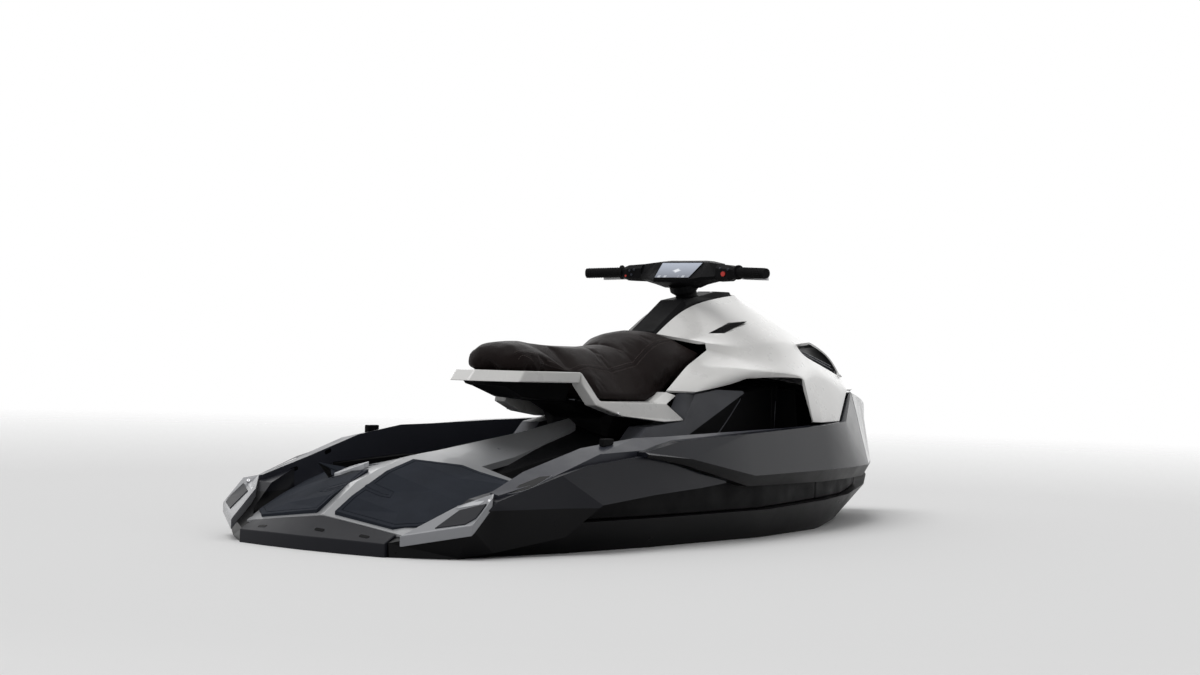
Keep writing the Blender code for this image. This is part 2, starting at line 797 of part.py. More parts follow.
# Hood outer surface, half: name, x, y, z
HOOD_SHARES = {
    "spine low": (0.031, 0.109, 0.820),
    "spine top": (0.147, 0.109, 0.959),
    "cowl front": (0.350, 0.096, 1.010),
    "ridge 0": (0.350, 0.000, 1.017),
    "ridge 1": (0.443, 0.000, 0.984),
    "ridge 2": (0.545, 0.000, 0.928),
    "ridge 3": (0.641, 0.000, 0.862),
    "ridge 4": (0.724, 0.000, 0.776),
    "ridge 5": (0.897, 0.000, 0.610),
    "side 1": (0.443, 0.105, 0.970),
    "side 2": (0.545, 0.123, 0.897),
    "side 3": (0.642, 0.158, 0.832),
    "side 4": (0.700, 0.210, 0.760),
    "crease 0": (0.084, 0.351, 0.790),
    "crease 1": (0.198, 0.439, 0.772),
    "crease 2": (0.294, 0.491, 0.818),
    "vent 0": (0.386, 0.482, 0.796),
    "vent 1": (0.514, 0.386, 0.818),
    "vent 2": (0.579, 0.351, 0.790),
    "vent 3": (0.630, 0.421, 0.658),
    "vent 4": (0.490, 0.491, 0.717),
    "vent 5": (0.414, 0.500, 0.757),
    "seat tip": (0.091, 0.351, 0.757),
    "seat mid": (0.000, 0.377, 0.687),
    "arm ridge": (0.107, 0.544, 0.687),
    "arm aft": (-0.124, 0.465, 0.586),
    "arm low": (-0.041, 0.518, 0.583),
    "under 1": (0.069, 0.526, 0.609),
    "under 2": (0.138, 0.596, 0.637),
    "leg inner top": (0.243, 0.702, 0.664),
    "leg inner low": (0.306, 0.737, 0.466),
    "leg crease low": (0.345, 0.733, 0.464),
    "leg outer low": (0.472, 0.675, 0.470),
    "leg outer top": (0.639, 0.474, 0.606),
    "leg crease top": (0.400, 0.605, 0.684),
    "nose side": (0.772, 0.300, 0.600),
}
HOOD_FACES = [
    ("spine low", "crease 0", "crease 1", "spine top"),
    ("spine top", "crease 1", "crease 2", "cowl front"),
    ("cowl front", "crease 2", "vent 0", "vent 1", "side 1"),
    ("side 1", "vent 1", "side 2"),
    ("side 2", "vent 1", "vent 2", "side 3"),
    ("ridge 0", "cowl front", "side 1", "ridge 1"),
    ("ridge 1", "side 1", "side 2", "ridge 2"),
    ("ridge 2", "side 2", "side 3", "ridge 3"),
    ("ridge 3", "side 3", "side 4", "ridge 4"),
    ("ridge 4", "side 4", "nose side", "ridge 5"),
    ("side 3", "vent 2", "vent 3", "side 4"),
    ("side 4", "vent 3", "leg outer top", "nose side"),
    ("crease 0", "seat tip", "seat mid", "arm ridge", "crease 1"),
    ("crease 1", "arm ridge", "under 2"),
    ("crease 1", "under 2", "leg inner top", "crease 2"),
    ("crease 2", "leg inner top", "leg crease top", "vent 5", "vent 0"),
    ("vent 5", "leg crease top", "vent 4"),
    ("vent 4", "leg crease top", "leg outer top", "vent 3"),
    ("seat mid", "arm aft", "arm low", "arm ridge"),
    ("arm ridge", "arm low", "under 1", "under 2"),
    ("leg inner top", "leg inner low", "leg crease low", "leg crease top"),
    ("leg crease top", "leg crease low", "leg outer low", "leg outer top"),
]
VENT_RIM = ["vent 0", "vent 1", "vent 2", "vent 3", "vent 4", "vent 5"]
VENT_DEPTH = 0.014
VENT_RECESS = 0.004
SLOT_SHARES = [
    (0.133, 0.830),
    (0.179, 0.834),
    (0.274, 0.890),
    (0.219, 0.880),
]
SLOT_OUT_SHARE = 0.60
SLOT_IN_SHARE = 0.20


def hood_point(name, side):
    point = at(HOOD_SHARES[name])
    if point.y < HOOD_SEAM:
        point.y = HOOD_SEAM
    point.y *= side
    return point


def hood_panel(name, side, core):
    bm = bmesh.new()
    verts = {}
    for key in HOOD_SHARES:
        verts[key] = bm.verts.new(hood_point(key, side))
    for keys in HOOD_FACES:
        loop = [verts[key] for key in keys]
        if side == STARBOARD:
            loop.reverse()
        bm.faces.new(loop)
    bmesh.ops.recalc_face_normals(bm, faces=bm.faces[:])
    outward = sum(face.normal.z * face.calc_area() for face in bm.faces)
    if outward < 0:
        bmesh.ops.reverse_faces(bm, faces=bm.faces[:])
    bmesh.ops.triangulate(bm, faces=bm.faces[:])
    mesh = bpy.data.meshes.new("hood")
    bm.to_mesh(mesh)
    bm.free()
    sheet = bpy.data.objects.new("sheet", mesh)
    bpy.context.collection.objects.link(sheet)
    solid = sheet.modifiers.new("wall", "SOLIDIFY")
    solid.thickness = PANEL
    solid.offset = -1
    solid.use_even_offset = True
    solid.thickness_clamp = 1
    bpy.context.view_layer.update()
    graph = bpy.context.evaluated_depsgraph_get()
    wall = bmesh.new()
    wall.from_mesh(sheet.evaluated_get(graph).to_mesh())
    bpy.data.objects.remove(sheet, do_unlink=True)
    for vert in wall.verts:
        if vert.co.y * side < HOOD_SEAM:
            vert.co.y = HOOD_SEAM * side
    panel = place(wall, "hood_panel_" + name, WHITE)
    slot = place(slot_solid(side, SEAM), "cutter", WHITE)
    boolean(panel, slot, "DIFFERENCE")
    bpy.data.objects.remove(slot, do_unlink=True)
    return carve(panel, core)


def slot_solid(side, grow):
    outer = [at((x, SLOT_OUT_SHARE, z)) for x, z in SLOT_SHARES]
    centre = sum(outer, Vector()) / len(outer)
    outline = []
    for point in outer:
        away = point - centre
        outline.append(point + away.normalized() * grow)
    depth = (SLOT_OUT_SHARE - SLOT_IN_SHARE) * HALF_BEAM
    return slab(flipped(outline, side), (0, -side * depth, 0))


def hood_faces_tree(side):
    """Outer surface of one hood half, for pieces that follow it."""
    keys = list(HOOD_SHARES)
    points = [hood_point(key, side) for key in keys]
    faces = []
    for names in HOOD_FACES:
        index = [keys.index(key) for key in names]
        for i in range(1, len(index) - 1):
            faces.append((index[0], index[i], index[i + 1]))
    return BVHTree.FromPolygons(points, faces)


def slot_insert(name, side):
    """Black grille plug in the slot of the hood, a little below its surface."""
    tree = hood_faces_tree(side)
    outer = []
    inner = []
    centre = sum((at((x, 0, z)) for x, z in SLOT_SHARES), Vector()) / len(SLOT_SHARES)
    for x, z in SLOT_SHARES:
        point = at((x, 0, z))
        point += (centre - point).normalized() * SEAM
        start = Vector((point.x, side * HALF_BEAM, point.z))
        hit = tree.ray_cast(start, Vector((0, -side, 0)))[0]
        outer.append(hit - Vector((0, side * VENT_RECESS, 0)))
        inner.append(hit - Vector((0, side * (VENT_RECESS + VENT_DEPTH), 0)))
    return place(loft([outer, inner]), "hood_slot_" + name, SATIN_BLACK)


def vent_insert(name, side, core):
    rim = [hood_point(key, side) for key in VENT_RIM]
    centre = sum(rim, Vector()) / len(rim)
    normal = Vector()
    for a, b in zip(rim, rim[1:] + rim[:1]):
        normal += (a - centre).cross(b - centre)
    normal.normalize()
    if normal.y * side < 0:
        normal = -normal
    outer = [p - normal * VENT_RECESS for p in rim]
    inner = [p - normal * (VENT_RECESS + VENT_DEPTH) for p in rim]
    return carve(place(loft([outer, inner]), "nose_vent_" + name, GLOSS_BLACK), core)


# Spine and cowl: x, half width, low z, edge z, top z
SPINE_SHARES = [
    (0.035, 0.103, 0.700, 0.815, 0.830),
    (0.147, 0.103, 0.780, 0.952, 0.972),
    (0.200, 0.098, 0.800, 0.972, 0.990),
    (0.290, 0.090, 0.820, 0.990, 1.022),
    (0.348, 0.086, 0.830, 0.996, 1.024),
]


SPINE_TOP_SHARE = 0.75


def spine():
    rings = []
    for x, half_width, low, edge, top in SPINE_SHARES:
        half = [
            at((x, 0, low)),
            at((x, half_width, low)),
            at((x, half_width, edge)),
            at((x, half_width * SPINE_TOP_SHARE, top)),
            at((x, 0, top)),
        ]
        rings.append(whole_ring(half))
    return place(loft(rings), "spine_cowl", SATIN_BLACK)


# Seat base: x, half width at the foot and at the top, low z, high z
BASE_SHARES = [
    (-0.340, 0.130, 0.150, 0.540, 0.600),
    (-0.300, 0.120, 0.150, 0.525, 0.540),
    (-0.240, 0.150, 0.220, 0.490, 0.525),
    (-0.200, 0.160, 0.260, 0.465, 0.520),
    (-0.190, 0.170, 0.270, 0.350, 0.518),
    (-0.070, 0.270, 0.290, 0.350, 0.515),
    (0.040, 0.290, 0.290, 0.380, 0.580),
    (0.100, 0.290, 0.290, 0.400, 0.680),
    (0.200, 0.250, 0.250, 0.500, 0.720),
]


def seat_base(core):
    rings = []
    for x, low_half_width, high_half_width, low, high in BASE_SHARES:
        half = [
            at((x, 0, low)),
            at((x, low_half_width, low)),
            at((x, high_half_width, high)),
            at((x, 0, high)),
        ]
        rings.append(whole_ring(half))
    return carve(place(loft(rings), "seat_base", SATIN_BLACK), core)


# Tail band, a white shelf under the rear seat: x, half width, low z, high z, how far the top edge sits forward
TAIL_SHARES = [
    (-0.590, 0.060, 0.607, 0.650, 0.020),
    (-0.511, 0.243, 0.607, 0.650, 0.014),
    (-0.420, 0.268, 0.607, 0.650, 0.000),
    (-0.334, 0.290, 0.607, 0.650, 0.000),
]


BAND_LOW_SHARE = 0.97


def tail_band():
    rings = []
    for x, half_width, low, high, lean in TAIL_SHARES:
        half = [
            at((x, 0, low)),
            at((x, half_width * BAND_LOW_SHARE, low)),
            at((x + lean, half_width, high)),
            at((x + lean, 0, high)),
        ]
        rings.append(whole_ring(half))
    return place(loft(rings), "tail_band", WHITE)


# Tail housing below the band: x, half width, low z
HOUSING_SHARES = [
    (-0.540, 0.080, 0.595),
    (-0.496, 0.150, 0.587),
    (-0.430, 0.130, 0.545),
    (-0.370, 0.150, 0.537),
    (-0.325, 0.210, 0.532),
]


HOUSING_LOW_SHARE = 0.80


def tail_housing(core):
    high = TAIL_SHARES[0][2] - SEAM / HEIGHT
    rings = []
    for x, half_width, low in HOUSING_SHARES:
        half = [
            at((x, 0, low)),
            at((x, half_width * HOUSING_LOW_SHARE, low)),
            at((x, half_width, high)),
            at((x, 0, high)),
        ]
        rings.append(whole_ring(half))
    return carve(place(loft(rings), "tail_housing", SATIN_BLACK), core)


# Side frame outline from the tail's knee to the toe: x, y, z
FRAME_SHARES = [
    (-0.333, 0.292, 0.650),
    (-0.297, 0.351, 0.537),
    (-0.117, 0.368, 0.537),
    (-0.079, 0.386, 0.579),
    (-0.069, 0.439, 0.566),
    (-0.100, 0.430, 0.530),
    (-0.055, 0.474, 0.463),
    (-0.121, 0.456, 0.457),
    (-0.241, 0.386, 0.480),
    (-0.310, 0.351, 0.520),
    (-0.331, 0.290, 0.607),
]
FRAME_DEPTH = 0.045


def side_frame(name, side, core):
    points = flipped([at(row) for row in FRAME_SHARES], side)
    piece = place(slab(points, (0, -side * FRAME_DEPTH, 0)), "side_frame_" + name, WHITE)
    return carve(piece, core)


# Grey panel beside the seat: x, y, z
GREY_SHARES = [
    (-0.172, 0.430, 0.434),
    (-0.055, 0.468, 0.463),
    (-0.014, 0.460, 0.570),
    (0.069, 0.470, 0.592),
    (0.165, 0.480, 0.588),
    (0.172, 0.480, 0.579),
    (-0.055, 0.480, 0.395),
    (-0.207, 0.480, 0.197),
    (-0.310, 0.430, 0.197),
]
GREY_DEPTH = 0.070
GREY_TO_TUB = 0.0006


def grey_panel(name, side, inner, core):
    points = flipped([at(row) for row in GREY_SHARES], side)
    piece = place(slab(points, (0, -side * GREY_DEPTH, 0)), "side_panel_" + name, STRIP_GREY)
    carve(piece, [inner], GREY_TO_TUB)
    return carve(piece, core)


# Seat: x, half width, low z, shoulder z, top z
SEAT_SHARES = [
    (-0.512, 0.110, 0.652, 0.690, 0.720),
    (-0.502, 0.160, 0.652, 0.715, 0.750),
    (-0.478, 0.200, 0.652, 0.728, 0.766),
    (-0.440, 0.225, 0.652, 0.720, 0.758),
    (-0.400, 0.240, 0.652, 0.700, 0.740),
    (-0.340, 0.272, 0.652, 0.682, 0.734),
    (-0.297, 0.345, 0.539, 0.650, 0.732),
    (-0.207, 0.352, 0.528, 0.640, 0.732),
    (-0.120, 0.355, 0.528, 0.655, 0.745),
    (-0.070, 0.355, 0.555, 0.695, 0.806),
    (-0.030, 0.352, 0.590, 0.725, 0.823),
    (0.010, 0.350, 0.625, 0.745, 0.824),
    (0.060, 0.350, 0.690, 0.765, 0.818),
    (0.088, 0.349, 0.740, 0.770, 0.800),
]


SEAT_LOW_SHARE = 0.95
SEAT_SHOULDER_SHARE = 0.92
SEAT_CROWN_SHARE = 0.50
SEAT_CROWN_RISE_SHARE = 0.85


def seat(cowl, core):
    rings = []
    for x, half_width, low, shoulder, top in SEAT_SHARES:
        half = [
            at((x, 0, low)),
            at((x, half_width * SEAT_LOW_SHARE, low)),
            at((x, half_width, (low + shoulder) / 2)),
            at((x, half_width * SEAT_SHOULDER_SHARE, shoulder)),
            at((x, half_width * SEAT_CROWN_SHARE, shoulder + (top - shoulder) * SEAT_CROWN_RISE_SHARE)),
            at((x, 0, top)),
        ]
        rings.append(whole_ring(half))
    pad = place(loft(rings), "seat", VINYL)
    carve(pad, [cowl], SEAT_TO_COWL)
    return carve(pad, core)


def ramp_height(x, y):
    """Top of the light rear deck at a world point of the ramp."""
    x_share = x / HALF_LENGTH
    y_share = abs(y) / HALF_BEAM
    crest, middle, edge_y, edge = [interpolated(RAMP_SHARES, x_share, i) for i in range(1, 5)]
    if y_share <= RAMP_MIDDLE_SHARE:
        share = crest + (middle - crest) * y_share / RAMP_MIDDLE_SHARE
    else:
        share = middle + (edge - middle) * (y_share - RAMP_MIDDLE_SHARE) / (edge_y - RAMP_MIDDLE_SHARE)
    return share * HEIGHT


# Rear mat strips along x: x, inner y, outer y
MAT_PORT_SHARES = [
    (-0.958, 0.060, 0.430),
    (-0.915, 0.060, 0.560),
    (-0.820, 0.060, 0.640),
    (-0.745, 0.400, 0.670),
    (-0.685, 0.400, 0.680),
]
MAT_STARBOARD_SHARES = [
    (-0.958, 0.060, 0.430),
    (-0.915, 0.060, 0.560),
    (-0.820, 0.060, 0.640),
    (-0.745, 0.060, 0.670),
    (-0.685, 0.250, 0.680),
]


MAT_STEP_SHARE = 0.02


def rear_mat(name, side, rows, core):
    rings = []
    for x_share, inner, outer in rows:
        x = x_share * HALF_LENGTH
        middle = min(max(RAMP_MIDDLE_SHARE, inner + MAT_STEP_SHARE), outer - MAT_STEP_SHARE)
        top = []
        for y_share in (inner, middle, outer):
            y = y_share * HALF_BEAM
            top.append(Vector((x, y, ramp_height(x, y) + MAT)))
        low = [Vector((p.x, p.y, p.z - MAT - DECK_SHELL / 2)) for p in reversed(top)]
        rings.append(flipped(top + low, side))
    return carve(place(loft(rings), "rear_mat_" + name, MAT_BLUE), core)


# Footwell mat outline: x, y
WELL_MAT_SHARES = [
    (-0.630, 0.360),
    (0.300, 0.470),
    (0.300, 0.640),
    (0.130, 0.690),
    (-0.200, 0.730),
    (-0.630, 0.710),
]


def well_mat(name, side):
    floor = WELL_SHARES[0][4] * HEIGHT + SEAM
    points = [Vector((x * HALF_LENGTH, y * HALF_BEAM, floor)) for x, y in WELL_MAT_SHARES]
    return place(slab(flipped(points, side), (0, 0, MAT)), "well_mat_" + name, MAT_BLUE)


# Tow eye plate on the port side of the ramp: x, y
TOW_SHARES = [
    (-0.786, 0.330),
    (-0.752, 0.250),
    (-0.730, 0.270),
    (-0.715, 0.380),
    (-0.738, 0.385),
    (-0.780, 0.390),
]
TOW_HEIGHT = 0.018


def tow_plate(core):
    low = []
    high = []
    for x_share, y_share in TOW_SHARES:
        x = x_share * HALF_LENGTH
        y = y_share * HALF_BEAM
        base = ramp_height(x, y)
        low.append(Vector((x, y, base - DECK_SHELL / 2)))
        high.append(Vector((x, y, base + TOW_HEIGHT)))
    return carve(place(loft([low, high]), "tow_plate", SILVER), core)


CLEAT_X_SHARE = -0.505
CLEAT_LENGTH = 0.050
CLEAT_WIDTH = 0.016
CLEAT_HEIGHT = 0.016


def cleat(name, side, core):
    """Small black hook on the gunwale strip."""
    x = CLEAT_X_SHARE * HALF_LENGTH
    low = GUNWALE_SHARES[2]
    high = GUNWALE_SHARES[3]
    part = (CLEAT_X_SHARE - low[0]) / (high[0] - low[0])
    y = (low[3] + (high[3] - low[3]) * part) * HALF_BEAM + CLEAT_WIDTH
    z = (low[4] + (high[4] - low[4]) * part) * HEIGHT
    corner = (x - CLEAT_LENGTH / 2, y - CLEAT_WIDTH / 2, z - CLEAT_HEIGHT)
    other = (x + CLEAT_LENGTH / 2, y + CLEAT_WIDTH / 2, z + CLEAT_HEIGHT)
    bm = box(corner, other)
    for vert in bm.verts:
        vert.co.y *= side
    return carve(place(bm, "cleat_" + name, SATIN_BLACK), core)


STATOR_NOSE_SHARE = 0.4
STATOR_TURNS_DEG = (30, 90, 150)


def pump_housing():
    """Tube with a stator inside and two ears for the steering nozzle."""
    outer = PUMP_RADIUS + PUMP_WALL
    profile = [(0, PUMP_RADIUS), (0, outer), (1, outer), (1, PUMP_RADIUS)]
    tube = place(
        ring_tube(profile, pump_point(PUMP_AFT_X), pump_point(PUMP_FORE_X), 24),
        "pump_housing",
        METAL,
    )
    hub_profile = [(0, IMPELLER_HUB_RADIUS / 2), (STATOR_NOSE_SHARE, IMPELLER_HUB_RADIUS), (1, IMPELLER_HUB_RADIUS)]
    stator_fore = STATOR_AFT_X + STATOR_LENGTH
    extras = [turned(hub_profile, pump_point(STATOR_AFT_X), pump_point(stator_fore), 16)]
    for turn in STATOR_TURNS_DEG:
        vane = box(
            (STATOR_AFT_X + STATOR_VANE, -PUMP_RADIUS - PUMP_WALL / 2, -STATOR_VANE / 2),
            (stator_fore - STATOR_VANE, PUMP_RADIUS + PUMP_WALL / 2, STATOR_VANE / 2),
        )
        bmesh.ops.rotate(vane, verts=vane.verts[:], matrix=Matrix.Rotation(math.radians(turn), 3, "X"))
        bmesh.ops.translate(vane, verts=vane.verts[:], vec=pump_point(0))
        extras.append(vane)
    ear_low = NOZZLE_INLET_RADIUS + NOZZLE_WALL + NOZZLE_EAR_GAP
    for up in (1, -1):
        edges = sorted([PUMP_AXIS_Z + up * ear_low, PUMP_AXIS_Z + up * (ear_low + NOZZLE_EAR)])
        ear = box(
            (NOZZLE_PIVOT_X - NOZZLE_EAR_HALF_WIDTH, -NOZZLE_EAR_HALF_WIDTH, edges[0]),
            (PUMP_AFT_X + NOZZLE_EAR, NOZZLE_EAR_HALF_WIDTH, edges[1]),
        )
        extras.append(ear)
    for made in extras:
        join(tube, [place(made, "extra", METAL)])
    hole_radius = NOZZLE_PIN_RADIUS + GRIP_BORE_CLEARANCE
    for up in (1, -1):
        start = Vector((NOZZLE_PIVOT_X, 0, PUMP_AXIS_Z))
        end = Vector((NOZZLE_PIVOT_X, 0, PUMP_AXIS_Z + up * REACH_IN))
        hole = place(turned([(0, hole_radius), (1, hole_radius)], start, end, 12), "cutter", METAL)
        boolean(tube, hole, "DIFFERENCE")
        bpy.data.objects.remove(hole, do_unlink=True)
    return carve(tube, [])


NOZZLE_STRAIGHT_SHARE = 0.45


def steering_nozzle():
    """Cone that swings about a vertical pin, fed by the pump."""
    pivot = Vector((NOZZLE_PIVOT_X, 0, PUMP_AXIS_Z))
    start = pivot + Vector((NOZZLE_FORE, 0, 0))
    end = pivot - Vector((NOZZLE_AFT, 0, 0))
    profile = [
        (0, NOZZLE_INLET_RADIUS),
        (0, NOZZLE_INLET_RADIUS + NOZZLE_WALL),
        (NOZZLE_STRAIGHT_SHARE, NOZZLE_INLET_RADIUS + NOZZLE_WALL),
        (1, NOZZLE_OUTLET_RADIUS + NOZZLE_WALL),
        (1, NOZZLE_OUTLET_RADIUS),
    ]
    cone = place(ring_tube(profile, start, end, 24), "steering_nozzle", METAL, origin=pivot)
    pin_end = NOZZLE_INLET_RADIUS + NOZZLE_WALL + NOZZLE_EAR_GAP + NOZZLE_EAR
    for up in (1, -1):
        low = pivot + Vector((0, 0, up * (NOZZLE_INLET_RADIUS + NOZZLE_WALL / 2)))
        high = pivot + Vector((0, 0, up * pin_end))
        pin = turned([(0, NOZZLE_PIN_RADIUS), (1, NOZZLE_PIN_RADIUS)], low, high, 12)
        join(cone, [place(pin, "extra", METAL)])
    return cone


HUB_STRAIGHT_SHARE = 0.7
BLADE_ROOT_SHARE = 0.6
BLADE_CHORD_SHARE = 0.8
BLADE_TIP_SHARE = 0.88


def impeller():
    """Hub, shaft and pitched blades that spin inside the pump."""
    aft = IMPELLER_X - IMPELLER_LENGTH / 2
    fore = IMPELLER_X + IMPELLER_LENGTH / 2
    shaft_end = PUMP_FORE_X + BEARING_LENGTH - GRIP_BORE_CLEARANCE
    run = shaft_end - aft
    hub_share = IMPELLER_LENGTH / run
    profile = [
        (0, IMPELLER_HUB_RADIUS),
        (hub_share * HUB_STRAIGHT_SHARE, IMPELLER_HUB_RADIUS),
        (hub_share, SHAFT_RADIUS),
        (1, SHAFT_RADIUS),
    ]
    hub = place(
        turned(profile, pump_point(aft), pump_point(shaft_end), 16),
        "impeller",
        METAL,
        origin=pump_point(IMPELLER_X),
    )
    tip = PUMP_RADIUS - IMPELLER_TIP_CLEARANCE
    root = IMPELLER_HUB_RADIUS * BLADE_ROOT_SHARE
    chord = (fore - aft) * BLADE_CHORD_SHARE / math.cos(math.radians(BLADE_PITCH_DEG))
    for k in range(BLADE_COUNT):
        low = (-chord / 2, -BLADE_THICKNESS / 2, root)
        high = (chord / 2, BLADE_THICKNESS / 2, tip * BLADE_TIP_SHARE)
        blade = box(low, high)
        bmesh.ops.rotate(
            blade, verts=blade.verts[:], matrix=Matrix.Rotation(math.radians(BLADE_PITCH_DEG), 3, "Z")
        )
        turn = math.tau * k / BLADE_COUNT
        bmesh.ops.rotate(blade, verts=blade.verts[:], matrix=Matrix.Rotation(turn, 3, "X"))
        bmesh.ops.translate(blade, verts=blade.verts[:], vec=pump_point(IMPELLER_X))
        join(hub, [place(blade, "extra", METAL)])
    return hub


def intake_grate():
    """Frame and bars across the intake under the hull."""
    aft = PUMP_FORE_X + SEAM
    fore = PUMP_FORE_X + GRATE_LENGTH - SEAM
    half = GRATE_WIDTH / 2 - SEAM
    low = GRATE_Z - GRATE_BAR / 2
    high = GRATE_Z + GRATE_BAR / 2
    grate = place(box((aft, -half, low), (aft + GRATE_BAR, half, high)), "intake_grate", METAL)
    pieces = [box((fore - GRATE_BAR, -half, low), (fore, half, high))]
    for k in range(GRATE_BARS):
        y = -half + GRATE_BAR / 2 + (2 * half - GRATE_BAR) * k / (GRATE_BARS - 1)
        pieces.append(box((aft, y - GRATE_BAR / 2, low), (fore, y + GRATE_BAR / 2, high)))
    for made in pieces:
        join(grate, [place(made, "extra", METAL)])
    return carve(grate, [])


def ride_plate():
    """Flat plate that closes the hull below the pump."""
    half = PUMP_RADIUS + PUMP_WALL + TUNNEL_CLEARANCE + RIDE_PLATE_GAP - SEAM
    high = PUMP_AXIS_Z - PUMP_RADIUS - PUMP_WALL - RIDE_PLATE_GAP
    low = high - RIDE_PLATE_THICKNESS
    aft = HULL_SHARES[0][0] * HALF_LENGTH
    fore = PUMP_FORE_X - REACH_IN / 4 - SEAM
    return place(box((aft, -half, low), (fore, half, high)), "ride_plate", SATIN_BLACK)


def column_axis():
    rake = math.radians(COLUMN_RAKE_DEG)
    return Vector((-math.sin(rake), 0, math.cos(rake)))


def column_base():
    return Vector((COLUMN_X, 0, COLUMN_BASE_Z))


def column_socket(cowl):
    """Round hole in the cowl for the steering column."""
    low = column_base() - column_axis() * COLUMN_SOCKET
    high = column_base() + column_axis() * COLUMN_HEIGHT
    radius = COLUMN_RADIUS + COLUMN_CLEARANCE
    hole = place(turned([(0, radius), (1, radius)], low, high, 20), "cutter", METAL)
    boolean(cowl, hole, "DIFFERENCE")
    bpy.data.objects.remove(hole, do_unlink=True)


COLLAR_LOW_SHARE = 0.55
COLLAR_HIGH_SHARE = 0.72


def steering_column(parent):
    low = column_base() - column_axis() * (COLUMN_SOCKET - SEAM)
    high = column_base() + column_axis() * COLUMN_HEIGHT
    profile = [
        (0, COLUMN_RADIUS),
        (COLLAR_LOW_SHARE, COLUMN_RADIUS),
        (COLLAR_HIGH_SHARE, COLLAR_RADIUS),
        (1, COLLAR_RADIUS),
    ]
    return place(
        turned(profile, low, high, 20),
        "steering_column",
        SATIN_BLACK,
        origin=column_base(),
        parent=parent,
        smooth=True,
    )


def bar_points():
    bend = Vector((BAR_CENTRE_X, BAR_BEND_Y, BAR_CENTRE_Z))
    end = Vector((BAR_END_X, GRIP_OUTER_Y, BAR_END_Z))
    return [Vector((end.x, -end.y, end.z)), Vector((bend.x, -bend.y, bend.z)), bend, end]


def tube_along(points, radius, steps=12):
    """Round bar through points, mitred at the bends."""
    rings = []
    for i, point in enumerate(points):
        before = (point - points[i - 1]).normalized() if i else None
        after = (points[i + 1] - point).normalized() if i < len(points) - 1 else None
        run = (before or after) + (after or before)
        run.normalize()
        side = run.cross(Vector((0, 0, 1))).normalized()
        up = side.cross(run)
        ring = []
        for k in range(steps):
            angle = math.tau * k / steps
            ring.append(point + (side * math.cos(angle) + up * math.sin(angle)) * radius)
        rings.append(ring)
    return loft(rings)


def handlebar(parent):
    return place(
        tube_along(bar_points(), BAR_RADIUS),
        "handlebar",
        SATIN_BLACK,
        origin=column_base(),
        parent=parent,
        smooth=True,
    )


def on_bar(y, side):
    """Point of the bar's centre line at a distance to the side."""
    bend, end = bar_points()[2:]
    part = (y - bend.y) / (end.y - bend.y)
    point = bend.lerp(end, part)
    return Vector((point.x, point.y * side, point.z))


def grip(name, side, parent):
    inner = GRIP_INNER_Y - GRIP_FLANGE_WIDTH
    flange_share = GRIP_FLANGE_WIDTH / (GRIP_OUTER_Y - inner)
    bore = BAR_RADIUS + GRIP_BORE_CLEARANCE
    profile = [
        (0, bore),
        (0, GRIP_FLANGE_RADIUS),
        (flange_share, GRIP_FLANGE_RADIUS),
        (flange_share, GRIP_RADIUS),
        (1, GRIP_RADIUS),
        (1, bore),
    ]
    return place(
        ring_tube(profile, on_bar(inner, side), on_bar(GRIP_OUTER_Y, side), 16),
        "grip_" + name,
        SATIN_BLACK,
        origin=column_base(),
        parent=parent,
        smooth=True,
    )


# Console section along its width: y share, then x and z shares of six corners
CONSOLE_SHARES = [
    (0.00, ((0.62, 0.00), (0.08, 0.20), (0.04, 0.30), (0.60, 0.93), (0.88, 1.00), (1.00, 0.55))),
    (0.48, ((0.60, 0.04), (0.08, 0.20), (0.04, 0.30), (0.60, 0.93), (0.86, 1.00), (0.98, 0.55))),
    (0.70, ((0.55, 0.15), (0.22, 0.28), (0.18, 0.38), (0.56, 0.92), (0.82, 0.97), (0.92, 0.55))),
    (1.00, ((0.58, 0.26), (0.36, 0.32), (0.32, 0.42), (0.50, 0.86), (0.78, 0.88), (0.88, 0.55))),
]


def console(parent):
    """Faceted pod that carries the display, bored for the bar."""
    rings = []
    for row in list(reversed(CONSOLE_SHARES)) + CONSOLE_SHARES[1:]:
        side = STARBOARD if len(rings) >= len(CONSOLE_SHARES) else PORT
        y = row[0] * CONSOLE_HALF_WIDTH * side
        ring = []
        for x_share, z_share in row[1]:
            x = CONSOLE_AFT_X + x_share * CONSOLE_DEPTH
            z = CONSOLE_LOW_Z + z_share * CONSOLE_HEIGHT
            ring.append(Vector((x, y, z)))
        rings.append(ring)
    body = place(loft(rings), "console", SATIN_BLACK, origin=column_base(), parent=parent)
    return body


def display_corners(shift):
    top = Vector((DISPLAY_TOP_X, 0, DISPLAY_TOP_Z))
    low = Vector((DISPLAY_LOW_X, 0, DISPLAY_LOW_Z))
    normal = (top - low).cross(Vector((0, 1, 0))).normalized()
    if normal.z < 0:
        normal = -normal
    across = Vector((0, 1, 0))
    corners = [
        top + across * DISPLAY_TOP_HALF_WIDTH,
        top - across * DISPLAY_TOP_HALF_WIDTH,
        low - across * DISPLAY_LOW_HALF_WIDTH,
        low + across * DISPLAY_LOW_HALF_WIDTH,
    ]
    return [corner + normal * shift for corner in corners]


def display(parent):
    rings = [display_corners(DISPLAY_PROUD), display_corners(DISPLAY_PROUD - DISPLAY_THICKNESS)]
    return place(loft(rings), "display", SCREEN, origin=column_base(), parent=parent)


# Switch pod from the console outwards: share of the way, size share
POD_SIZE_SHARES = [
    (0.0, 1.0),
    (0.7, 0.9),
    (1.0, 0.6),
]
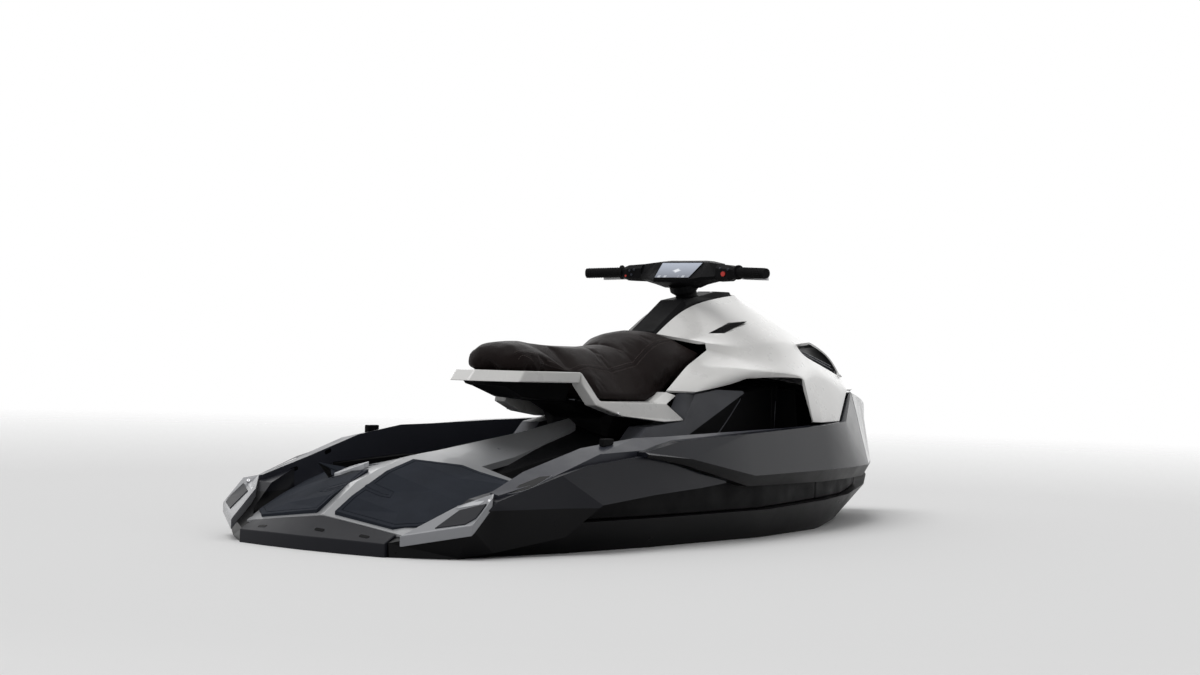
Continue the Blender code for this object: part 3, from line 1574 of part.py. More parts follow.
# Pod section: shares of the half depth and the half height
POD_SECTION_SHARES = [
    (-1.0, -0.9),
    (-1.0, 0.4),
    (-0.5, 1.0),
    (0.7, 1.0),
    (1.0, 0.2),
    (0.6, -1.3),
    (-0.5, -1.3),
]


def switch_pod(name, side, parent):
    inner = on_bar(POD_INNER_Y, side)
    outer = on_bar(POD_OUTER_Y, side)
    rings = []
    for way, scale in POD_SIZE_SHARES:
        centre = inner.lerp(outer, way)
        half_x = POD_DEPTH / 2 * scale
        half_z = POD_HEIGHT / 2 * scale
        ring = [centre + Vector((half_x * x, 0, half_z * z)) for x, z in POD_SECTION_SHARES]
        rings.append(ring)
    return place(loft(rings), "switch_pod_" + name, SATIN_BLACK, origin=column_base(), parent=parent)


# Lever along its length: width share
LEVER_WIDTH_SHARES = (1.0, 1.0, 0.7)


def lever(name, side, parent):
    """Finger lever ahead of a grip."""
    start = on_bar(POD_OUTER_Y - POD_DEPTH / 2, side) + Vector((POD_DEPTH / 4, 0, -POD_HEIGHT / 4))
    knee = on_bar(POD_OUTER_Y, side) + Vector((LEVER_REACH, 0, -POD_HEIGHT / 3))
    tip = on_bar(LEVER_TIP_Y, side) + Vector((LEVER_REACH, 0, -POD_HEIGHT / 3))
    rings = []
    for point, width in zip((start, knee, tip), LEVER_WIDTH_SHARES):
        half = LEVER_THICKNESS / 2
        deep = LEVER_THICKNESS * width
        rings.append([
            point + Vector((-deep, 0, -half)),
            point + Vector((deep, 0, -half)),
            point + Vector((deep, 0, half)),
            point + Vector((-deep, 0, half)),
        ])
    item = place(loft(rings), "lever_" + name, METAL, origin=column_base(), parent=parent)
    return item


def stop_button(parent):
    """Red button on the starboard pod, facing the rider."""
    centre = on_bar((POD_INNER_Y + POD_OUTER_Y) / 2, STARBOARD) - Vector((0, 0, BUTTON_DROP))
    start = centre - Vector((POD_DEPTH / 2 - BUTTON_HEIGHT, 0, 0))
    end = centre - Vector((POD_DEPTH / 2 + BUTTON_HEIGHT / 2, 0, 0))
    profile = [(0, BUTTON_RADIUS), (1, BUTTON_RADIUS)]
    return place(
        turned(profile, start, end, 16),
        "stop_button",
        RED,
        origin=column_base(),
        parent=parent,
        smooth=True,
    )


def local_carve(item, neighbours):
    """Carve an item that hangs on the steering empty, in world space."""
    matrix = item.matrix_world.copy()
    parent = item.parent
    item.parent = None
    item.matrix_world = Matrix.Identity(4)
    item.data.transform(matrix)
    carve(item, neighbours)
    item.data.transform(matrix.inverted())
    item.parent = parent
    item.matrix_parent_inverse = Matrix.Identity(4)
    item.matrix_world = matrix
    return item


def steering():
    pivot = bpy.data.objects.new("steering_axis", None)
    bpy.context.collection.objects.link(pivot)
    pivot.location = column_base()
    column_socket(bpy.data.objects["spine_cowl"])
    column = steering_column(pivot)
    bar = handlebar(pivot)
    pod_console = console(pivot)
    screen = display(pivot)
    bpy.context.view_layer.update()
    local_carve(pod_console, [bar, screen])
    bpy.context.view_layer.update()
    local_carve(column, [pod_console, bar])
    for name, side in SIDES.items():
        grip(name, side, pivot)
        pod = switch_pod(name, side, pivot)
        bpy.context.view_layer.update()
        local_carve(pod, [bar, pod_console])
        bpy.context.view_layer.update()
        item = lever(name, side, pivot)
        bpy.context.view_layer.update()
        local_carve(item, [pod, bar])
    bpy.context.view_layer.update()
    button = stop_button(pivot)
    bpy.context.view_layer.update()
    local_carve(button, [bpy.data.objects["switch_pod_starboard"], bar])


def main():
    clear_scene()
    hull_shell = hull()
    battery()
    ramp_base()
    footwell_tub()
    bow_block()
    inner = inner_deck()
    rear = carve(rear_deck(), [inner])
    core = [hull_shell, inner, rear]
    spine_piece = spine()
    band = tail_band()
    rim = stern_bumper(core)
    for name, side in SIDES.items():
        rail = gunwale(name, side, core)
        bumper = side_bumper(name, side, core + [rail])
        plate = corner_plate(name, side, core + [rail, rim])
        aft_panel(name, side, core + [rail, bumper, plate, rim])
        cleat(name, side, [rail])
        well_mat(name, side)
    bow = bow_bumper([hull_shell, inner])
    panels = []
    for name, side in SIDES.items():
        skirts = [
            bpy.data.objects["gunwale_" + name],
            bpy.data.objects["side_bumper_" + name],
            bow,
            inner,
            spine_piece,
        ]
        panel = hood_panel(name, side, skirts)
        panels.append(panel)
        slot_insert(name, side)
        vent_insert(name, side, [panel])
    base = seat_base([inner, rear, spine_piece] + panels)
    housing = tail_housing([band, base])
    frames = []
    for name, side in SIDES.items():
        frames.append(side_frame(name, side, [base, band, housing, inner] + panels))
    for name, side in SIDES.items():
        frame = bpy.data.objects["side_frame_" + name]
        panel = bpy.data.objects["hood_panel_" + name]
        grey_panel(name, side, inner, [frame, panel, base])
    seat(spine_piece, [base, band] + frames + panels)
    bpy.data.objects.remove(inner, do_unlink=True)
    plate = tow_plate([rear])
    rear_mat("port", PORT, MAT_PORT_SHARES, [rear, plate])
    rear_mat("starboard", STARBOARD, MAT_STARBOARD_SHARES, [rear])
    pump_housing()
    steering_nozzle()
    impeller()
    intake_grate()
    ride_plate()
    steering()


main()
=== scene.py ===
"""Looks of the electric personal watercraft: finishes, upholstery, mats, controls and fittings.

Metres, +X to the bow, +Y to port, +Z up, origin amidships on the waterline.
"""

import json
import math

import bmesh
import bpy
from mathutils import Matrix, Vector
from mathutils.bvhtree import BVHTree


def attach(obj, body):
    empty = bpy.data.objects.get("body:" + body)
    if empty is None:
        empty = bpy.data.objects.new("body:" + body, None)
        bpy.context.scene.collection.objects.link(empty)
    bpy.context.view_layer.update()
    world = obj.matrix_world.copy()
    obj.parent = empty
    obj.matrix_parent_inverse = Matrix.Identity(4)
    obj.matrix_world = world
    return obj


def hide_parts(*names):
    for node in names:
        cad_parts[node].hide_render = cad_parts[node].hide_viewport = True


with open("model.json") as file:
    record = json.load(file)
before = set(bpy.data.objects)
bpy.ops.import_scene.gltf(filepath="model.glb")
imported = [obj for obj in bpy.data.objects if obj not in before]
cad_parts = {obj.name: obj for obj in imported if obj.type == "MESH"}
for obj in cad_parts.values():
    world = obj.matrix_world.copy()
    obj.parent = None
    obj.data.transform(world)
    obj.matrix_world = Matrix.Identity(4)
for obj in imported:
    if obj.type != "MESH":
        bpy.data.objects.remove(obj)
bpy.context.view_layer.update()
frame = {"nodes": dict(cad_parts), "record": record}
NODES = frame["nodes"]
PORT = 1
STARBOARD = -1
SIDES = {"port": PORT, "starboard": STARBOARD}

# Camera, in the craft's frame
LENS_MM = 63.73
SENSOR_MM = 36.0
EYE = Vector((-5.5594, -4.0324, 0.5352))
HEADING_DEG = 36.8366
PITCH_DEG = 0.588
ROLL_DEG = 1.8037


class Value:
    """A shader socket that takes part in Python sums."""

    def __init__(self, finish, socket):
        self.finish = finish
        self.socket = socket

    def maths(self, operation, *others):
        """The result of one Math node."""
        return self.finish.node("ShaderNodeMath", {"operation": operation}, [self, *others])

    def __add__(self, other):
        return self.maths("ADD", other)

    def __mul__(self, other):
        return self.maths("MULTIPLY", other)

    __radd__ = __add__
    __rmul__ = __mul__

    def __sub__(self, other):
        return self.maths("SUBTRACT", other)

    def __rsub__(self, other):
        return self.finish.node("ShaderNodeMath", {"operation": "SUBTRACT"}, [other, self])

    def __abs__(self):
        return self.maths("ABSOLUTE")

    def over(self, limit):
        """1 above the limit, else 0."""
        return self.maths("GREATER_THAN", limit)

    def under(self, limit):
        """1 below the limit, else 0."""
        return self.maths("LESS_THAN", limit)


class Finish:
    """A material under construction, with one method for every node."""

    def __init__(self, name, colour, roughness, **constants):
        self.material = bpy.data.materials.new(name)
        self.material.use_nodes = True
        self.tree = self.material.node_tree
        self.shader = self.tree.nodes["Principled BSDF"]
        self.colour = (*colour, 1)
        self.set("Base Color", self.colour)
        self.set("Roughness", roughness)
        for key, value in constants.items():
            self.set(key.replace("_", " "), value)
        self.place = self.node("ShaderNodeTexCoord", output="Object")

    def set(self, name, value):
        """A constant on the shader."""
        self.shader.inputs[name].default_value = value

    def feed(self, name, value):
        """A varying value on the shader."""
        self.tree.links.new(value.socket, self.shader.inputs[name])

    def node(self, kind, settings=None, sockets=(), output=0):
        """Any node, with its settings and socket values."""
        made = self.tree.nodes.new(kind)
        for key, value in (settings or {}).items():
            setattr(made, key, value)
        pairs = sockets.items() if isinstance(sockets, dict) else enumerate(sockets)
        for key, value in pairs:
            if isinstance(value, Value):
                self.tree.links.new(value.socket, made.inputs[key])
            else:
                made.inputs[key].default_value = value
        return Value(self, made.outputs[output])

    def mapped(self, scale):
        """Places stretched by a scale for each axis."""
        return self.node("ShaderNodeMapping", sockets={"Vector": self.place, "Scale": scale})

    def noise(self, scale, detail=3, vector=None, rough=0.55):
        """Cloudy pattern from 0 to 1."""
        sockets = {"Vector": vector or self.place, "Scale": scale, "Detail": detail, "Roughness": rough}
        return self.node("ShaderNodeTexNoise", sockets=sockets)

    def cells(self, scale, feature="F1"):
        """Cell pattern, for grain."""
        sockets = {"Vector": self.place, "Scale": scale}
        return self.node("ShaderNodeTexVoronoi", {"feature": feature}, sockets)

    def spread(self, value, low, high, to_low=0, to_high=1):
        """The value stretched from one range to another, and held there."""
        sockets = {0: value, 1: low, 2: high, 3: to_low, 4: to_high}
        return self.node("ShaderNodeMapRange", {"clamp": True}, sockets)

    def blend(self, factor, first, second):
        """Colour that goes from the first to the second."""
        sockets = {0: factor, 6: first, 7: second}
        return self.node("ShaderNodeMix", {"data_type": "RGBA"}, sockets, output=2)

    def shade(self, share):
        """The finish's own colour, darker or lighter."""
        red, green, blue, _ = self.colour
        return (red * share, green * share, blue * share, 1)

    def relief(self, height, distance, strength=1.0):
        """Fine bumps, the distance in metres."""
        sockets = {"Height": height, "Distance": distance, "Strength": strength}
        self.feed("Normal", self.node("ShaderNodeBump", sockets=sockets))


# Part of a noise's range that most of it lies in
MOST = (0.3, 0.7)
COAT_ROUGHNESS = 0.08
# Painted reflections on the dark gloss: stretch of the streak noise, the part of it that shows, and how
# much lighter the streaks are
STREAKS = (9, 40, 60)
STREAK_REFLECTION_RANGE = (0.60, 0.78)
STREAK_REFLECTION_SHADE = 2.6
ORANGE_PEEL = 0.00005


def gel_coat(name, colour, roughness, coat=0.5, reflection_streaks=0.0, gloss=0.5):
    """Sprayed gel coat with faint orange peel and smudges, and painted reflections as lighter streaks
    along its length.
    """
    finish = Finish(name, colour, roughness, Coat_Weight=coat, Specular_IOR_Level=gloss)
    finish.set("Coat Roughness", COAT_ROUGHNESS)
    cloud = finish.spread(finish.noise(3.5, 4), *MOST)
    shade = finish.blend(cloud, finish.shade(0.93), finish.shade(1.05))
    if reflection_streaks:
        # Lighter streaks along the length are painted reflections
        streaks = finish.noise(1.0, 6, finish.mapped(STREAKS), 0.7)
        reflected = finish.spread(streaks, *STREAK_REFLECTION_RANGE) * reflection_streaks
        shade = finish.blend(reflected, shade, finish.shade(STREAK_REFLECTION_SHADE))
    finish.feed("Base Color", shade)
    smudge = finish.noise(11.0, 5)
    finish.feed("Roughness", finish.spread(smudge, 0.25, 0.85, roughness * 0.85, roughness * 1.35))
    finish.relief(finish.noise(320.0, 2), ORANGE_PEEL)
    return finish.material


def moulding(name, colour, roughness, gloss=0.35):
    """Grained plastic, a little dusty in places."""
    finish = Finish(name, colour, roughness, Specular_IOR_Level=gloss)
    dust = finish.spread(finish.noise(7.0, 5), 0.35, 0.8)
    finish.feed("Base Color", finish.blend(dust, finish.shade(0.9), finish.shade(1.25)))
    patch = finish.noise(13.0, 4)
    finish.feed("Roughness", finish.spread(patch, *MOST, roughness * 0.85, roughness * 1.2))
    finish.relief(finish.cells(850.0), 0.0002, 0.6)
    return finish.material


def vinyl():
    """Marine vinyl with a leather grain, shinier where it is sat on."""
    finish = Finish("seat_vinyl", (0.0085, 0.0054, 0.0051), 0.42, Specular_IOR_Level=0.06)
    cloud = finish.spread(finish.noise(6.0, 5), *MOST)
    finish.feed("Base Color", finish.blend(cloud, finish.shade(0.85), finish.shade(1.15)))
    grain = finish.cells(380.0, "DISTANCE_TO_EDGE")
    fine = finish.cells(900.0, "DISTANCE_TO_EDGE")
    worn = finish.noise(8.0, 3)
    finish.feed("Roughness", finish.spread(worn, *MOST, 0.36, 0.56))
    height = finish.spread(grain, 0.0, 0.22) + finish.spread(fine, 0.0, 0.25) * 0.4
    finish.relief(height, 0.00025, 0.55)
    return finish.material


BRUSHED = (900, 220, 900)


def foam_mat():
    """Closed-cell foam with a brushed face."""
    finish = Finish("mat_foam", (0.017, 0.020, 0.027), 0.88, Specular_IOR_Level=0.12)
    cloud = finish.spread(finish.noise(9.0, 5), *MOST)
    finish.feed("Base Color", finish.blend(cloud, finish.shade(0.85), finish.shade(1.2)))
    brushed = finish.noise(1.0, 4, finish.mapped(BRUSHED), 0.7)
    finish.relief(brushed + finish.cells(520.0) * 0.5, 0.0004, 0.7)
    return finish.material


def cast_metal(name, colour, roughness):
    """Bare metal with a cast or rolled face."""
    finish = Finish(name, colour, roughness, Metallic=1.0)
    cloud = finish.spread(finish.noise(18.0, 5), *MOST)
    finish.feed("Base Color", finish.blend(cloud, finish.shade(0.88), finish.shade(1.08)))
    patch = finish.noise(60.0, 4)
    finish.feed("Roughness", finish.spread(patch, *MOST, roughness * 0.8, roughness * 1.3))
    finish.relief(finish.noise(600.0, 3), 0.0001, 0.5)
    return finish.material


# Display, heights and distances off the middle in metres
SCREEN_FOOT = 0.806
SCREEN_HEAD = 0.864
FIELD_FOOT = (0.07, 0.08, 0.11, 1)
FIELD_HEAD = (0.34, 0.38, 0.46, 1)
DIAL_HEIGHT = 0.838
DIAL_SLANT = 0.45
DIAL_EDGE = (0.009, 0.0045)
DIAL_LIGHT = (0.75, 0.78, 0.82, 1)
BAR_WAVES = 260.0
BAR_FOOT = 0.814
BAR_HEAD = 0.821
BAR_INNER = 0.022
BAR_OUTER = 0.062
BAR_LIGHT = (0.65, 0.68, 0.72, 1)
SCREEN_GLOW = 0.35


def screen_glass():
    """Lit display: a plain pale field that fades downwards, with bars and a dial in softer tones."""
    finish = Finish("screen_glass", (0.16, 0.19, 0.25), 0.12, Coat_Weight=0.6, Coat_Roughness=0.03)
    height = finish.node("ShaderNodeSeparateXYZ", sockets=[finish.place], output="Z")
    across = finish.node("ShaderNodeSeparateXYZ", sockets=[finish.place], output="Y")
    rise = finish.spread(height, SCREEN_FOOT, SCREEN_HEAD)
    field = finish.blend(rise, FIELD_FOOT, FIELD_HEAD)
    off_middle = abs(across)
    dial = finish.spread(abs(height - DIAL_HEIGHT) + off_middle * DIAL_SLANT, *DIAL_EDGE)
    bars = (across * BAR_WAVES).maths("SINE").over(0.2) * height.over(BAR_FOOT) * height.under(BAR_HEAD)
    side_bars = bars * off_middle.over(BAR_INNER) * off_middle.under(BAR_OUTER)
    lit = finish.blend(dial * 0.85, field, DIAL_LIGHT)
    lit = finish.blend(side_bars * 0.5, lit, BAR_LIGHT)
    finish.feed("Base Color", lit)
    finish.feed("Emission Color", lit)
    finish.set("Emission Strength", SCREEN_GLOW)
    finish.feed("Roughness", finish.spread(finish.noise(40.0, 3), 0.4, 0.7, 0.10, 0.2))
    return finish.material


def lens_and_slot_shade():
    """Smoked black of the vents and scoops; on the slots it is painted shade."""
    finish = Finish("smoked_lens_and_slot_shade", (0.003, 0.003, 0.0035), 0.2, Specular_IOR_Level=0.05)
    finish.feed("Roughness", finish.spread(finish.noise(14.0, 4), 0.35, 0.7, 0.09, 0.22))
    finish.feed("Base Color", finish.blend(finish.noise(9.0, 3), finish.shade(0.6), finish.shade(1.6)))
    return finish.material


def glossy_red():
    """Red plastic of the stop button."""
    finish = Finish("red_plastic", (0.58, 0.03, 0.02), 0.38)
    finish.feed("Base Color", finish.blend(finish.noise(90.0, 3), finish.shade(0.85), finish.shade(1.1)))
    finish.feed("Roughness", finish.spread(finish.noise(120.0, 3), *MOST, 0.3, 0.5))
    return finish.material


MATERIALS = {
    # A gel coat's fifth argument is the strength of its painted reflection streaks
    "gloss_black": gel_coat("hull_gel_coat", (0.003, 0.003, 0.0035), 0.3, 0.01, 0.1, 0.08),
    "satin_black": moulding("black_moulding", (0.004, 0.004, 0.0045), 0.55, 0.06),
    "battery_case": moulding("battery_case", (0.05, 0.05, 0.055), 0.5),
    "bumper_dark": gel_coat("bumper_gel_coat", (0.009, 0.010, 0.014), 0.22, 0.02, 0.6, 0.12),
    "side_grey": gel_coat("side_gel_coat", (0.008, 0.0085, 0.012), 0.34, 0.02, 0.3, 0.14),
    "strip_grey": gel_coat("strip_gel_coat", (0.030, 0.032, 0.042), 0.34, 0.02, 0.2, 0.14),
    "side_panel": moulding("side_panel_satin", (0.085, 0.088, 0.100), 0.42, 0.25),
    "silver": gel_coat("silver_gel_coat", (0.50, 0.51, 0.53), 0.28, 0.4),
    "plate_silver": gel_coat("plate_gel_coat", (0.20, 0.205, 0.22), 0.30, 0.5),
    "deck_silver": gel_coat("deck_gel_coat", (0.27, 0.275, 0.285), 0.30, 0.25),
    "white": gel_coat("white_gel_coat", (0.76, 0.755, 0.74), 0.28, 0.35),
    "vinyl": vinyl(),
    "thread": moulding("seat_thread", (0.060, 0.045, 0.042), 0.6),
    "mat": foam_mat(),
    "grip_rubber": moulding("grip_rubber", (0.006, 0.006, 0.0065), 0.75, 0.08),
    "metal": cast_metal("cast_metal", (0.40, 0.40, 0.41), 0.38),
    "screw": cast_metal("screw_steel", (0.50, 0.50, 0.51), 0.3),
    "screen": screen_glass(),
    "lens": lens_and_slot_shade(),
    "red": glossy_red(),
}
# Finishes that take another slot's name in the record
SLOTS = {
    "deck_silver": "silver",
    "plate_silver": "silver",
    "side_panel": "strip_grey",
    "thread": "vinyl",
    "screw": "metal",
    "lens": "gloss_black",
}
for row in frame["record"]["subparts"]:
    node = NODES[row["node"]]
    node.data.materials.clear()
    node.data.materials.append(MATERIALS[row["material_slot"]])


# Shares of the half length, half beam and height, as in the tables below
HALF_LENGTH = 1.45
HALF_BEAM = 0.57
HEIGHT = 0.76


def at(shares, side=PORT):
    """Place in metres from shares, on the wanted side."""
    return Vector((shares[0] * HALF_LENGTH, shares[1] * HALF_BEAM * side, shares[2] * HEIGHT))


def add_object(name, mesh):
    """An object in the scene around a mesh."""
    made = bpy.data.objects.new(name, mesh)
    bpy.context.collection.objects.link(made)
    return made


def from_bmesh(name, bm, finish):
    """An object with one finish around a finished shape."""
    mesh = bpy.data.meshes.new(name)
    bm.to_mesh(mesh)
    bm.free()
    mesh.materials.append(MATERIALS[finish])
    return add_object(name, mesh)


MERGE_GAP = 0.00002
LEVEL_DEG = 0.8


def merged_copy(node):
    """The node's own mesh with its loose triangles joined up and level faces made one."""
    bm = bmesh.new()
    bm.from_mesh(NODES[node].data)
    bmesh.ops.remove_doubles(bm, verts=bm.verts, dist=MERGE_GAP)
    level = math.radians(LEVEL_DEG)
    bmesh.ops.dissolve_limit(bm, angle_limit=level, verts=bm.verts, edges=bm.edges)
    return bm


def modifier(item, kind, **settings):
    """A modifier with its settings."""
    made = item.modifiers.new(kind.lower(), kind)
    for key, value in settings.items():
        setattr(made, key, value)
    return made


def settled(item):
    """Applies the modifiers, so that the piece is a plain mesh."""
    bpy.context.view_layer.update()
    graph = bpy.context.evaluated_depsgraph_get()
    mesh = bpy.data.meshes.new_from_object(item.evaluated_get(graph), depsgraph=graph)
    item.modifiers.clear()
    item.data = mesh
    mesh.name = item.name
    return item


def softened(item, width, segments=3, angle_deg=14):
    """Rounded edges, with the flat facets left flat."""
    modifier(
        item, "BEVEL", width=width, segments=segments, limit_method="ANGLE",
        angle_limit=math.radians(angle_deg), use_clamp_overlap=True,
    )
    settled(item)
    item.data.shade_smooth()
    modifier(item, "WEIGHTED_NORMAL", keep_sharp=False, weight=60)
    return settled(item)


def finished(item, finish, *nodes, body="root"):
    """Hides the nodes that the piece stands for and hangs the piece under its body."""
    SLOTS.get(finish, finish)
    if nodes:
        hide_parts(*nodes)
    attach(item, body)
    return item


def bridged(bm, rings, size):
    """Faces between each ring and the next."""
    for first, second in rings:
        for k in range(size):
            bm.faces.new((first[k], first[(k + 1) % size], second[(k + 1) % size], second[k]))


UP = Vector((0, 0, 1))


def raised(points, section, closed=False, up=UP):
    """A bead of the given section, in (across, out) pairs, laid along points."""
    bm = bmesh.new()
    rings = []
    count = len(points)
    for index, point in enumerate(points):
        before = points[index - 1] if index or closed else point
        after = points[(index + 1) % count] if index < count - 1 or closed else point
        along = (after - before).normalized()
        across = along.cross(up).normalized()
        out = across.cross(along).normalized()
        rings.append([bm.verts.new(point + across * u + out * v) for u, v in section])
    pairs = list(zip(rings, rings[1:]))
    if closed:
        pairs.append((rings[-1], rings[0]))
    bridged(bm, pairs, len(section))
    if not closed:
        bm.faces.new(rings[0])
        bm.faces.new(rings[-1])
    bmesh.ops.recalc_face_normals(bm, faces=bm.faces[:])
    return bm


def round_section(radius, steps=8):
    """Round profile for a bead."""
    turns = [math.tau * k / steps for k in range(steps)]
    return [(radius * math.cos(turn), radius * math.sin(turn)) for turn in turns]


def flat_section(foot, top, reach):
    """Four-sided profile, given by its half widths and its half height."""
    return [(-foot, -reach), (foot, -reach), (top, reach), (-top, reach)]


def smooth_path(points, steps=6):
    """Rounded run through the points."""
    ends = [points[0]] + list(points) + [points[-1]]
    path = []
    for a, b, c, d in zip(ends, ends[1:], ends[2:], ends[3:]):
        for step in range(steps):
            t = step / steps
            path.append(
                0.5 * (2 * b + (c - a) * t + (2 * a - 5 * b + 4 * c - d) * t * t
                       + (3 * b - a - 3 * c + d) * t * t * t)
            )
    return path + [points[-1]]


def joined(name, parts, finish):
    """Several closed shapes as one piece."""
    whole = bmesh.new()
    for part in parts:
        mesh = bpy.data.meshes.new("part")
        part.to_mesh(mesh)
        part.free()
        whole.from_mesh(mesh)
        bpy.data.meshes.remove(mesh)
    return from_bmesh(name, whole, finish)


def block(outline, shift):
    """Prism from a flat outline."""
    bm = bmesh.new()
    first = [bm.verts.new(point) for point in outline]
    second = [bm.verts.new(point + Vector(shift)) for point in outline]
    bm.faces.new(first)
    bm.faces.new(list(reversed(second)))
    for k in range(len(first)):
        bm.faces.new((first[k], second[k], second[(k + 1) % len(first)], first[(k + 1) % len(first)]))
    bmesh.ops.recalc_face_normals(bm, faces=bm.faces[:])
    return bm


# Mouldings that keep the CAD shape and get rounded edges: node, edge radius, finish
# A name with a bar at its end stands for a port and a starboard one
MOULDED = [
    ("hull", 0.006, "gloss_black"),
    ("ramp_base", 0.005, "satin_black"),
    ("footwell_tub", 0.005, "satin_black"),
    ("bow_block", 0.005, "satin_black"),
    ("bow_bumper", 0.006, "bumper_dark"),
    ("stern_bumper", 0.009, "side_grey"),
    ("tail_band", 0.004, "white"),
    ("tail_housing", 0.005, "satin_black"),
    ("seat_base", 0.005, "satin_black"),
    ("spine_cowl", 0.005, "satin_black"),
    ("tow_plate", 0.003, "silver"),
    ("ride_plate", 0.002, "metal"),
    ("console", 0.004, "satin_black"),
    ("display", 0.001, "screen"),
    ("gunwale_", 0.005, "strip_grey"),
    ("side_bumper_", 0.006, "bumper_dark"),
    ("aft_panel_", 0.005, "side_grey"),
    ("corner_plate_", 0.003, "plate_silver"),
    ("side_frame_", 0.004, "white"),
    ("side_panel_", 0.004, "side_panel"),
    ("cleat_", 0.003, "satin_black"),
    ("switch_pod_", 0.003, "satin_black"),
    ("lever_", 0.0025, "metal"),
]
# Those of them that turn with the handlebar
STEERED = ["console", "display", "switch_pod_", "lever_"]
# Painted shade in gloss black on undersides and low faces: lowest height that keeps its colour, steepest
# slope down
PAINTED_SHADE_BELOW = {
    "side_bumper_": (0.0, -0.12),
    "bow_bumper": (0.0, -0.12),
    "stern_bumper": (-1.0, -0.5),
    "aft_panel_": (0.128, -2.0),
}


def moulded(node, radius, finish, body, shade_below):
    """One moulding, with painted shade in gloss black on its underside if it has a height and slope for
    it.
    """
    bm = merged_copy(node)
    if shade_below and shade_below[0] > 0:
        everything = bm.verts[:] + bm.edges[:] + bm.faces[:]
        level = Vector((0, 0, shade_below[0]))
        bmesh.ops.bisect_plane(bm, geom=everything, plane_co=level, plane_no=(0, 0, 1))
    item = from_bmesh(node + "_moulding", bm, finish)
    softened(item, radius)
    if shade_below:
        # Low and downward faces get gloss black: painted shade
        item.data.materials.append(MATERIALS["gloss_black"])
        for face in item.data.polygons:
            if face.center.z < shade_below[0] or face.normal.z < shade_below[1]:
                face.material_index = 1
    finished(item, finish, node, body=body)


def moulded_pieces():
    """Every moulding, single ones and pairs."""
    for stem, radius, finish in MOULDED:
        body = "steering" if stem in STEERED else "root"
        for side in SIDES if stem.endswith("_") else [""]:
            moulded(stem + side, radius, finish, body, PAINTED_SHADE_BELOW.get(stem))


# Hood outer skin, port half: name, then shares of x, y, z
HOOD = {
    "spine low": (0.031, 0.109, 0.820),
    "spine top": (0.147, 0.109, 0.959),
    "cowl front": (0.350, 0.096, 1.010),
    "ridge 0": (0.350, 0.000, 1.017),
    "ridge 1": (0.443, 0.000, 0.984),
    "ridge 2": (0.545, 0.000, 0.928),
    "ridge 3": (0.641, 0.000, 0.862),
    "ridge 4": (0.724, 0.000, 0.776),
    "ridge 5": (0.897, 0.000, 0.610),
    "side 1": (0.443, 0.105, 0.970),
    "side 2": (0.545, 0.123, 0.897),
    "side 3": (0.642, 0.158, 0.832),
    "side 4": (0.700, 0.210, 0.760),
    "crease 0": (0.084, 0.351, 0.790),
    "crease 1": (0.193, 0.442, 0.772),
    "crease 2": (0.294, 0.491, 0.811),
    "crease 3": (0.430, 0.400, 0.826),
    "vent 0": (0.384, 0.482, 0.798),
    "vent 1": (0.505, 0.390, 0.811),
    "vent 2": (0.575, 0.345, 0.790),
    "vent 2b": (0.620, 0.370, 0.742),
    "vent 3": (0.635, 0.421, 0.655),
    "vent 4": (0.490, 0.495, 0.708),
    "vent 4b": (0.437, 0.500, 0.732),
    "vent 5": (0.397, 0.500, 0.757),
    "seat tip": (0.091, 0.351, 0.757),
    "valley": (0.176, 0.440, 0.722),
    "seat mid": (0.000, 0.377, 0.687),
    "arm ridge": (0.104, 0.544, 0.689),
    "arm aft": (-0.124, 0.465, 0.586),
    "arm low": (-0.041, 0.518, 0.583),
    "under 1": (0.069, 0.526, 0.609),
    "belly": (0.140, 0.595, 0.676),
    "under 2": (0.130, 0.560, 0.642),
    "leg corner": (0.254, 0.688, 0.671),
    "under 3": (0.225, 0.640, 0.655),
    "inner top": (0.278, 0.708, 0.650),
    "inner low": (0.306, 0.737, 0.463),
    "bend low": (0.345, 0.735, 0.461),
    "outer low": (0.463, 0.675, 0.464),
    "outer top": (0.630, 0.474, 0.602),
    "bend top": (0.400, 0.605, 0.684),
    "nose side": (0.772, 0.300, 0.600),
}
HOOD_FACES = [
    "spine low, crease 0, crease 1, spine top",
    "spine top, crease 1, crease 2, cowl front",
    "cowl front, crease 2, crease 3, side 1",
    "crease 2, vent 0, crease 3",
    "side 1, crease 3, vent 0, vent 1, side 2",
    "side 2, vent 1, vent 2, side 3",
    "ridge 0, cowl front, side 1, ridge 1",
    "ridge 1, side 1, side 2, ridge 2",
    "ridge 2, side 2, side 3, ridge 3",
    "ridge 3, side 3, side 4, ridge 4",
    "ridge 4, side 4, nose side, ridge 5",
    "side 3, vent 2, vent 2b, side 4",
    "side 4, vent 2b, vent 3, outer top, nose side",
    "crease 0, seat tip, valley, crease 1",
    "seat tip, seat mid, arm ridge, valley",
    "seat mid, arm aft, arm low, arm ridge",
    "arm ridge, arm low, under 1, belly",
    "belly, under 1, under 2",
    "valley, arm ridge, belly",
    "crease 1, valley, belly, leg corner, crease 2",
    "belly, under 2, under 3, leg corner",
    "leg corner, under 3, inner top",
    "crease 2, leg corner, vent 5, vent 0",
    "leg corner, inner top, bend top, vent 4b, vent 5",
    "vent 4b, bend top, vent 4",
    "vent 4, bend top, outer top, vent 3",
    "inner top, inner low, bend low, bend top",
    "bend top, bend low, outer low, outer top",
]
VENT_RIM = "vent 0, vent 1, vent 2, vent 2b, vent 3, vent 4, vent 4b, vent 5"
